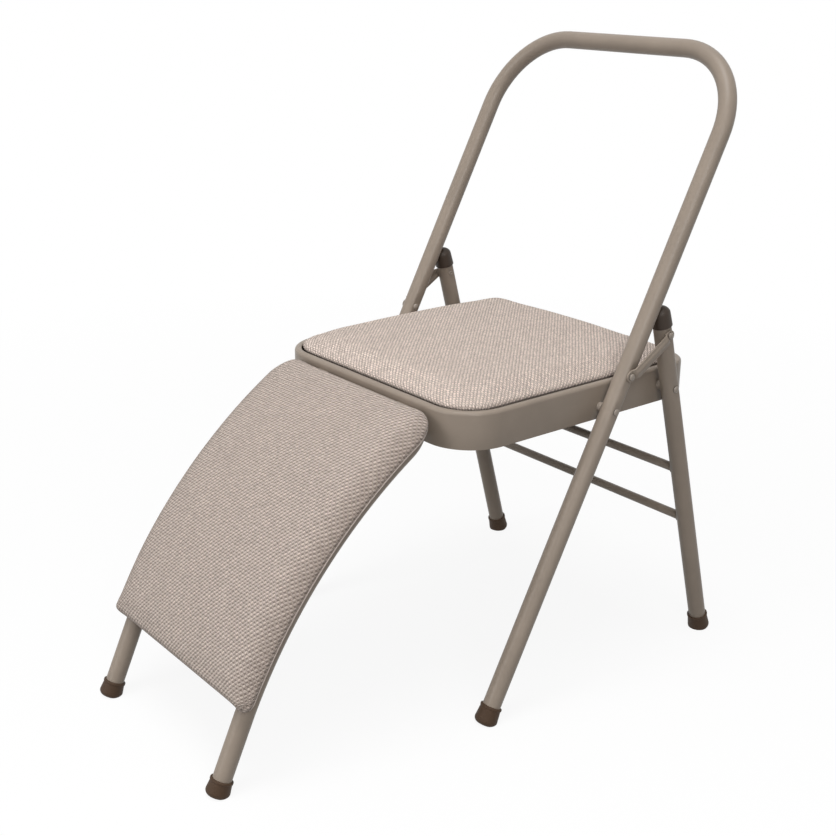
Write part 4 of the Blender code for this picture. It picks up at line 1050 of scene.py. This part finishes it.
class CHAIR_OT_extension_cushion(bpy.types.Operator):
    """Shapes and fills the extension's pad, lays it on the arc, pockets it for its board and sews on its welt"""

    bl_idname = "chair.extension_cushion"
    bl_label = "Extension cushion"

    def execute(self, context):
        s, p = context.scene.chair_frame, context.scene.chair_pan
        e, c = context.scene.chair_extension, context.scene.chair_cushions
        side, base = 0.0050, s.tube_radius + GAP
        front = SEAT_PIVOT.y - p.front
        centre, _ = extension_arc(e)
        top_angle = asin((centre.y - (front - e.pad_gap)) / (e.arc_radius + base + side))
        low, high = e.pad_bottom, e.arc_radius * (e.leg_slope - top_angle) + e.pad_past
        half = (e.pad_half_width, (high - low) / 2)
        corners = (e.bottom_corner, e.top_corner)
        edge, crown, reaches, drawn = 0.0145, 0.0020, (0.024, 0.008), 0.0008
        cushion = cushion_block("extension_cushion_cloth", half, corners, side, edge, crown, reaches, drawn, c.slack)

        def free(points):
            above = np.clip((points[:, 2] - side) / 0.006, 0, 1)
            return np.where(points[:, 2] < 0.0012, 0.0, 0.1 + 0.6 * above)
        fill_cushion(cushion, c, free)
        lay_weave(cushion, half, radius=0.030, side=side, edge=0.0150, reach=reaches[0], stretch=c.pad_stretch)
        # Painted shade on the pad's rolled side edges.
        soil(cushion, lambda co: 0.45 * clamp((abs(co.x) - half[0] + 0.032) / 0.030))
        only(cushion)
        cushion.location = (0, (low + high) / 2, base)
        freeze()
        lay_on_arc(cushion, e)

        only(frame["nodes"]["extension_board"])
        bpy.ops.object.duplicate(linked=False)
        cutter = bpy.context.object
        bpy.ops.object.parent_clear(type="CLEAR_KEEP_TRANSFORM")
        cutter.name = "board_pocket"
        edit()
        bpy.ops.mesh.remove_doubles(threshold=0.00001)
        bpy.ops.mesh.normals_make_consistent(inside=False)
        bpy.ops.transform.shrink_fatten(value=0.0004)
        leave()
        cut_away(cushion, cutter)
        for hand in HANDS:
            bpy.ops.mesh.primitive_cylinder_add(
                vertices=TUBE_SIDES, radius=s.tube_radius + e.hook_reach + e.hook_relief,
                depth=e.hook_width + 2 * e.hook_relief, rotation=(0, pi / 2, 0),
                location=(hand * e.hook_spacing / 2, EXT_BAR.y, EXT_BAR.z))
            cut_away(cushion, bpy.context.object)
        settle(cushion, "seat_fabric", "extension", "extension_cushion", finish="woven cloth, drawn")

        nothing_selected()
        bpy.ops.mesh.primitive_plane_add(size=1, location=(0, 0, 0))
        welt = bpy.context.object
        welt.scale = (2 * (half[0] - 0.0016), 2 * (half[1] - 0.0030), 1)
        welt = named("extension_welt")
        edit()
        for sign, radius in ((-1, corners[0]), (1, corners[1])):
            choose("VERT", lambda co: co.y * sign > half[1] - 0.005)
            bpy.ops.mesh.bevel(offset=radius - 0.0015, segments=14, affect="VERTICES")
        choose_all()
        bpy.ops.mesh.delete(type="ONLY_FACE")
        choose("EDGE", lambda co: abs(co.x) > half[0] - 0.006 and abs(co.y) < half[1] - 0.030)
        bpy.ops.mesh.subdivide(number_cuts=40)
        leave()
        welt.location = (0, (low + high) / 2, base + 0.0006)
        freeze()
        only(welt)
        edit()
        reshape(welt, lambda co: on_arc(e, co.y, co.z, co.x))
        leave()
        bpy.ops.object.convert(target="CURVE")
        welt = bpy.context.object
        welt.data.bevel_depth = e.welt_radius
        welt.data.bevel_resolution = 3
        bpy.ops.object.convert(target="MESH")
        welt = bpy.context.object
        shade(welt, 60)
        settle(welt, "seat_fabric", "extension")
        return {"FINISHED"}


def group_of(name, inputs, outputs):
    """An empty node group with its sockets. inputs holds (name, kind, value), and outputs (name, kind)."""
    group = bpy.data.node_groups.new(name, "ShaderNodeTree")
    for label, kind, value in inputs:
        socket = group.interface.new_socket(name=label, in_out="INPUT", socket_type="NodeSocket" + kind)
        if value is not None:
            socket.default_value = value
    for label, kind in outputs:
        group.interface.new_socket(name=label, in_out="OUTPUT", socket_type="NodeSocket" + kind)
    return group, group.nodes.new("NodeGroupInput"), group.nodes.new("NodeGroupOutput")


class Wires:
    """Short ways to add and join nodes in one tree."""

    def __init__(self, tree):
        self.tree = tree

    def node(self, kind, **values):
        made = self.tree.nodes.new("ShaderNode" + kind)
        for key, value in values.items():
            setattr(made, key, value)
        return made

    def join(self, source, target):
        self.tree.links.new(source, target)

    def feed(self, socket, value):
        if isinstance(value, bpy.types.NodeSocket):
            self.join(value, socket)
        elif value is not None:
            socket.default_value = value

    def math(self, operation, first, second=None, third=None):
        made = self.node("Math", operation=operation)
        for socket, value in zip(made.inputs, (first, second, third)):
            self.feed(socket, value)
        return made.outputs[0]

    def blend(self, factor, first, second):
        made = self.node("Mix", data_type="RGBA")
        self.feed(made.inputs["Factor"], factor)
        self.feed(made.inputs[6], first)
        self.feed(made.inputs[7], second)
        return made.outputs[2]

    def noise(self, vector, scale, detail=3.0, roughness=0.5, output="Fac"):
        made = self.node("TexNoise")
        self.feed(made.inputs["Vector"], vector)
        self.feed(made.inputs["Scale"], scale)
        made.inputs["Detail"].default_value = detail
        made.inputs["Roughness"].default_value = roughness
        return made.outputs[output]

    def spread(self, value, low, high, to_low=0.0, to_high=1.0):
        made = self.node("MapRange", clamp=True)
        self.feed(made.inputs["Value"], value)
        for label, number in (("From Min", low), ("From Max", high), ("To Min", to_low), ("To Max", to_high)):
            self.feed(made.inputs[label], number)
        return made.outputs["Result"]

    def bump(self, height, strength, distance):
        made = self.node("Bump")
        self.feed(made.inputs["Height"], height)
        made.inputs["Strength"].default_value = strength
        made.inputs["Distance"].default_value = distance
        return made.outputs["Normal"]

    def seen(self):
        """1 for what the camera sees by itself, in a gloss or through a clear piece, and 0 for light."""
        path = self.node("LightPath").outputs
        mask = self.math("MAXIMUM", path["Is Camera Ray"], path["Is Transmission Ray"])
        return self.math("MAXIMUM", mask, path["Is Glossy Ray"])


def make_coat_group():
    """Orange peel, faint cloudiness and rubbed patches of a baked or moulded skin."""
    group, into, out = group_of("skin", [("Vector", "Vector", None), ("Peel", "Float", 900.0)],
                                [("Height", "Float"), ("Tone", "Float"), ("Rub", "Float")])
    w = Wires(group)
    place = into.outputs["Vector"]
    w.join(w.noise(place, into.outputs["Peel"], 2.0), out.inputs["Height"])
    w.join(w.spread(w.noise(place, 14.0, 4.0), 0.30, 0.70), out.inputs["Tone"])
    w.join(w.spread(w.noise(place, 55.0, 6.0, 0.65), 0.48, 0.72), out.inputs["Rub"])


def make_weave_group():
    """A plain weave of thick nubby yarn. Warp is how high the threads along Y rise beside those along X, Lean how
    far a bump leans over its yarn, and Face goes from 0 in a pocket at height Dark to 1 at height Light; the pockets
    take painted shade."""
    group, into, out = group_of("plain weave", [("Vector", "Vector", None), ("Thread", "Float", 0.0031),
                                                ("Warp", "Float", 0.5), ("Dark", "Float", 0.1),
                                                ("Light", "Float", 0.8), ("Lean", "Float", 0.0)],
                                [("Height", "Float"), ("Face", "Float"), ("Yarn", "Float")])
    w = Wires(group)
    place = into.outputs["Vector"]
    shift = w.node("VectorMath", operation="MULTIPLY_ADD")
    w.join(w.noise(place, 120.0, 2.0, output="Color"), shift.inputs[0])
    shift.inputs[1].default_value = (0.0030, 0.0030, 0.0)
    w.join(place, shift.inputs[2])
    apart = w.node("SeparateXYZ")
    w.join(shift.outputs[0], apart.inputs[0])
    u, v = (w.math("DIVIDE", apart.outputs[axis], into.outputs["Thread"]) for axis in "XY")

    def yarn(across, along, sign, crest):
        """Height of the threads that are numbered across and run along: round, and up and down in turn."""
        place = w.math("SUBTRACT", w.math("MULTIPLY", w.math("FRACT", across), 2.0), 1.0)
        fourth = w.math("POWER", w.math("ABSOLUTE", place), 4.0)
        thick = w.math("SQRT", w.math("MAXIMUM", w.math("SUBTRACT", 1.0, fourth), 0.0))
        lean = w.math("MULTIPLY_ADD", w.math("MULTIPLY", place, sign), into.outputs["Lean"], along)
        phase = w.math("MULTIPLY", w.math("ADD", w.math("FLOOR", across), lean), pi)
        up = w.math("MULTIPLY_ADD", w.math("SINE", phase), sign * 0.46, 0.54)
        return w.math("MULTIPLY", w.math("MULTIPLY", thick, up), crest)

    warp = yarn(u, v, 1.0, into.outputs["Warp"])
    weft = yarn(v, u, -1.0, 1.0)
    height = w.math("MAXIMUM", warp, weft)
    fuzz = w.noise(place, 1500.0, 3.0, 0.7)
    rough = w.math("ADD", height, w.math("MULTIPLY", w.math("SUBTRACT", fuzz, 0.5), 0.80))
    nub = w.node("TexWhiteNoise", noise_dimensions="2D")
    cell = w.node("CombineXYZ")
    w.join(w.math("FLOOR", u), cell.inputs["X"])
    w.join(w.math("FLOOR", v), cell.inputs["Y"])
    w.join(cell.outputs[0], nub.inputs["Vector"])
    w.join(rough, out.inputs["Height"])
    w.join(w.spread(rough, into.outputs["Dark"], into.outputs["Light"]), out.inputs["Face"])
    w.join(nub.outputs["Value"], out.inputs["Yarn"])


def make_grain_group():
    """Long wood grain along X, with fine pores."""
    group, into, out = group_of("grain", [("Vector", "Vector", None)], [("Dark", "Float"), ("Height", "Float")])
    w = Wires(group)
    scale = w.node("Mapping")
    scale.inputs["Scale"].default_value = (3.0, 60.0, 60.0)
    w.join(into.outputs["Vector"], scale.inputs["Vector"])
    broad = w.noise(scale.outputs["Vector"], 1.0, 6.0, 0.6)
    fine = w.noise(scale.outputs["Vector"], 9.0, 3.0, 0.7)
    w.join(w.spread(w.math("ADD", w.math("MULTIPLY", broad, 0.7), w.math("MULTIPLY", fine, 0.3)), 0.35, 0.65),
           out.inputs["Dark"])
    w.join(fine, out.inputs["Height"])


def new_material(name, roughness, metallic=0.0, **sockets):
    """A material whose shader has these constant values, and short ways to wire it."""
    material = bpy.data.materials.new(name)
    material.use_nodes = True
    shader = material.node_tree.nodes["Principled BSDF"]
    shader.inputs["Roughness"].default_value = roughness
    shader.inputs["Metallic"].default_value = metallic
    for label, value in sockets.items():
        shader.inputs[label.replace("_", " ")].default_value = value
    w = Wires(material.node_tree)
    place = w.node("TexCoord").outputs["Object"]
    return w, shader, place


def use_group(w, name, **values):
    made = w.node("Group")
    made.node_tree = bpy.data.node_groups[name]
    for label, value in values.items():
        w.feed(made.inputs[label], value)
    return made


def shaded(rgb, factor):
    return tuple(part * factor for part in rgb) + (1.0,)


def make_skin(name, rgb, roughness, peel, strength, gloss):
    """Paint, plastic or rubber: a cloudy colour, rubbed roughness and orange peel."""
    w, shader, place = new_material(name, roughness, Specular_IOR_Level=gloss)
    skin = use_group(w, "skin", Vector=place, Peel=peel)
    tone = w.blend(skin.outputs["Tone"], shaded(rgb, 0.94), shaded(rgb, 1.06))
    colour_out = w.blend(w.math("MULTIPLY", skin.outputs["Rub"], 0.25), tone, shaded(rgb, 1.16))
    w.join(colour_out, shader.inputs["Base Color"])
    rough = w.math("ADD", w.math("MULTIPLY", skin.outputs["Rub"], 0.06), roughness - 0.02)
    w.join(rough, shader.inputs["Roughness"])
    w.join(w.bump(skin.outputs["Height"], strength, 0.0004), shader.inputs["Normal"])


def soil_by_rim(material, dark):
    """Paints shade into a material's colour where the piece's rim attribute is set."""
    w = Wires(bpy.data.materials[material].node_tree)
    shader = w.tree.nodes["Principled BSDF"]
    unshaded_colour = shader.inputs["Base Color"].links[0].from_socket
    mark = w.node("Attribute", attribute_name="rim").outputs["Fac"]
    w.join(w.blend(w.math("MULTIPLY", mark, 0.85), unshaded_colour, dark), shader.inputs["Base Color"])


def make_cloth(name, rgb, pocket_shade_rgb, nubs, **weave_values):
    """Woven cloth laid out by its own UV map, with painted shade in the pockets between the yarns. nubs is how far
    the yarns differ in tone.
    """
    w, shader, _ = new_material(name, 0.9, Sheen_Weight=0.1, Sheen_Roughness=0.5, Specular_IOR_Level=0.2)
    cloth = w.node("UVMap", uv_map="weave").outputs["UV"]
    weave = use_group(w, "plain weave", Vector=cloth, **weave_values)
    yarn = w.blend(weave.outputs["Yarn"], shaded(rgb, 1.0 - nubs), shaded(rgb, 1.0 + 0.6 * nubs))
    cloud = w.spread(w.noise(cloth, 18.0, 4.0), 0.3, 0.7)
    yarn = w.blend(w.math("MULTIPLY", cloud, 0.3), yarn, shaded(rgb, 0.90))
    # Painted shade: the weave's pockets take the dark pocket colour.
    w.join(w.blend(weave.outputs["Face"], pocket_shade_rgb, yarn), shader.inputs["Base Color"])
    w.join(w.bump(weave.outputs["Height"], 1.0, 0.0015), shader.inputs["Normal"])


class CHAIR_OT_finishes(bpy.types.Operator):
    """Makes every finish: powder coat, rivet paint, rubber, moulded plastic, woven cloth, welt, plywood and zinc"""

    bl_idname = "chair.finishes"
    bl_label = "Finishes"

    def execute(self, context):
        f = context.scene.chair_finishes
        make_coat_group()
        make_weave_group()
        make_grain_group()
        make_skin("powder coat", f.paint, 0.38, 700.0, 0.10, 0.24)
        make_skin("rivet paint", f.rivet, 0.34, 700.0, 0.06, 0.32)
        # Painted shade: a dark ring round each rivet head, and the pan's recess.
        soil_by_rim("rivet paint", shaded(f.paint, 0.15))
        soil_by_rim("powder coat", shaded(f.paint, 0.12))
        make_skin("rubber", f.rubber, 0.62, 1400.0, 0.20, 0.3)
        make_skin("moulding", f.moulding, 0.50, 1800.0, 0.14, 0.35)
        pocket_shade_rgb = tuple(f.cloth_gap) + (1.0,)
        thread = context.scene.chair_cushions.thread
        make_cloth("woven cloth", f.cloth, pocket_shade_rgb, 0.22, Thread=thread, Warp=0.45, Dark=0.05, Light=0.68,
                   Lean=-0.11)
        # Painted shade on the seat cushion's cloth below the pan's rim.
        soil_by_rim("woven cloth", shaded(f.cloth_gap, 0.4))
        drawn = [part * 0.775 for part in f.cloth]
        make_cloth("woven cloth, drawn", drawn, pocket_shade_rgb, 0.16, Thread=thread, Warp=0.60, Dark=0.08, Light=0.85,
                   Lean=0.28)
        # Painted shade on the pad's rolled side edges.
        soil_by_rim("woven cloth, drawn", shaded(f.cloth_gap, 1.0))

        w, shader, place = new_material("welt", 0.8, Sheen_Weight=0.2)
        twist = w.spread(w.noise(place, 1500.0, 2.0), 0.35, 0.65)
        w.join(w.blend(twist, shaded(f.cloth, 0.40), shaded(f.cloth, 0.58)), shader.inputs["Base Color"])
        w.join(w.bump(twist, 0.4, 0.0003), shader.inputs["Normal"])

        w, shader, place = new_material("plywood", 0.68)
        grain = use_group(w, "grain", Vector=place)
        w.join(w.blend(grain.outputs["Dark"], tuple(f.ply) + (1.0,), tuple(f.ply_dark) + (1.0,)),
               shader.inputs["Base Color"])
        w.join(w.bump(grain.outputs["Height"], 0.25, 0.0003), shader.inputs["Normal"])

        w, shader, place = new_material("zinc", 0.34, 0.9)
        spots = w.spread(w.noise(place, 500.0, 4.0), 0.35, 0.65)
        w.join(w.blend(spots, shaded(f.zinc, 0.85), shaded(f.zinc, 1.1)), shader.inputs["Base Color"])
        w.join(w.math("ADD", w.math("MULTIPLY", spots, 0.12), 0.28), shader.inputs["Roughness"])
        return {"FINISHED"}


class CHAIR_OT_dress_nodes(bpy.types.Operator):
    """Gives the nodes that stay their finish, joined triangles and smooth round faces"""

    bl_idname = "chair.dress_nodes"
    bl_label = "Small fittings"

    def execute(self, context):
        slots = {row["node"]: row["material_slot"] for row in frame["record"]["subparts"]}
        for name, node in frame["nodes"].items():
            node.data.materials.clear()
            node.data.materials.append(bpy.data.materials[FINISHES[slots[name]]])
            for face in node.data.polygons:
                face.use_smooth = True
            weld = node.modifiers.new("joined", "WELD")
            weld.merge_threshold = 0.00001
            split = node.modifiers.new("crisp", "EDGE_SPLIT")
            split.split_angle = radians(35)
        return {"FINISHED"}


class CHAIR_OT_stage(bpy.types.Operator):
    """Sets the camera, the lamps, the sky and the pale floor"""

    bl_idname = "chair.stage"
    bl_label = "Stage"

    def execute(self, context):
        g = context.scene.chair_stage
        az, el, roll = g.camera_azimuth, g.camera_elevation, g.camera_roll
        back = Vector((sin(az) * cos(el), -cos(az) * cos(el), sin(el)))
        right = back.cross(Vector((0, 0, -1))).normalized()
        up = back.cross(right)
        across = cos(roll) * right + sin(roll) * up
        above = -sin(roll) * right + cos(roll) * up
        bpy.ops.object.camera_add(location=g.camera_place)
        camera = bpy.context.object
        camera.name = "camera"
        camera.rotation_euler = Matrix((across, above, back)).transposed().to_euler()
        camera.data.lens = g.lens
        camera.data.sensor_width = 36.0
        camera.data.dof.use_dof = False
        context.scene.camera = camera
        context.scene.view_settings.view_transform = "Standard"

        for name, place, size, power in (
            ("front", (-0.6, -6.0, 2.2), 3.0, g.key),
            ("side", (2.5, -1.3, 1.9), 1.6, g.beside),
            ("top", (0.4, -1.0, 7.0), 4.0, g.above),
        ):
            bpy.ops.object.light_add(type="AREA", location=place)
            lamp = bpy.context.object
            lamp.name = name + "_lamp"
            lamp.data.shape = "DISK"
            lamp.data.size = size
            lamp.data.energy = power
            aim = Vector((0, 0, 0.42)) - Vector(place)
            lamp.rotation_euler = aim.to_track_quat("-Z", "Y").to_euler()

        world = bpy.data.worlds.new("studio")
        context.scene.world = world
        world.use_nodes = True
        w = Wires(world.node_tree)
        sky = world.node_tree.nodes["Background"]
        made = w.node("Mix", data_type="FLOAT")
        w.join(w.seen(), made.inputs["Factor"])
        height = w.node("SeparateXYZ")
        w.join(w.node("TexCoord").outputs["Generated"], height.inputs[0])
        level = w.spread(height.outputs["Z"], 0.0, 1.0, g.horizon, g.sky)
        behind = w.spread(height.outputs["Y"], -0.3, 0.7, 1.06, 0.28)
        w.join(w.math("MULTIPLY", level, behind), made.inputs[2])
        made.inputs[3].default_value = 1.0
        w.join(made.outputs[0], sky.inputs["Strength"])
        sky.inputs["Color"].default_value = (1.0, 1.0, 1.0, 1.0)

        bpy.ops.mesh.primitive_plane_add(size=g.floor_size, location=(0, 0, -0.0002))
        floor = named("floor")
        w, shader, place = new_material("pale floor", 0.95, Specular_IOR_Level=0.0)
        glow = w.node("Emission")
        glow.inputs["Strength"].default_value = 1.0
        far = w.node("VectorMath", operation="LENGTH")
        w.join(place, far.inputs[0])
        fade = w.spread(far.outputs["Value"], 0.7, 2.2, 0.90, 1.0)
        camera_ray = w.node("LightPath").outputs["Is Camera Ray"]
        w.join(w.blend(camera_ray, (0.33, 0.33, 0.33, 1.0), (0.82, 0.82, 0.82, 1.0)), shader.inputs["Base Color"])
        mix = w.node("MixShader")
        w.join(w.math("MULTIPLY", w.seen(), fade), mix.inputs["Fac"])
        w.join(shader.outputs[0], mix.inputs[1])
        w.join(glow.outputs[0], mix.inputs[2])
        w.join(mix.outputs[0], w.tree.nodes["Material Output"].inputs["Surface"])
        floor.data.materials.append(bpy.data.materials["pale floor"])
        return {"FINISHED"}


class CHAIR_PT_panel(bpy.types.Panel):
    """Lists the pieces and their sizes in the sidebar."""

    bl_idname = "CHAIR_PT_panel"
    bl_label = "Yoga Chair"
    bl_space_type = "VIEW_3D"
    bl_region_type = "UI"
    bl_category = "Yoga Chair"

    def draw(self, context):
        for step in STEPS:
            self.layout.operator("chair." + step)
        for holder in GROUPS:
            box = self.layout.box()
            box.label(text=GROUPS[holder].__doc__)
            values = getattr(context.scene, holder)
            for key in GROUPS[holder].__annotations__:
                box.prop(values, key)


GROUPS = {
    "chair_frame": ChairFrameSizes,
    "chair_pan": ChairPanSizes,
    "chair_extension": ChairExtensionSizes,
    "chair_cushions": ChairCushionSizes,
    "chair_finishes": ChairFinishes,
    "chair_stage": ChairStage,
}
OPERATORS = (
    CHAIR_OT_stage, CHAIR_OT_finishes, CHAIR_OT_dress_nodes, CHAIR_OT_hoop, CHAIR_OT_rear_legs, CHAIR_OT_tips,
    CHAIR_OT_boots, CHAIR_OT_links, CHAIR_OT_rivets, CHAIR_OT_pan, CHAIR_OT_extension_tube,
    CHAIR_OT_seat_cushion, CHAIR_OT_extension_cushion,
)
STEPS = [operator.bl_idname.split(".")[1] for operator in OPERATORS]


def register():
    for made in (*GROUPS.values(), *OPERATORS, CHAIR_PT_panel):
        bpy.utils.register_class(made)
    for holder, group in GROUPS.items():
        setattr(bpy.types.Scene, holder, PointerProperty(type=group))


def unregister():
    for holder in GROUPS:
        delattr(bpy.types.Scene, holder)
    for made in reversed((*GROUPS.values(), *OPERATORS, CHAIR_PT_panel)):
        bpy.utils.unregister_class(made)


def main():
    register()
    for step in STEPS:
        getattr(bpy.ops.chair, step)()
    nothing_selected()


if __name__ == "__main__":
    main()
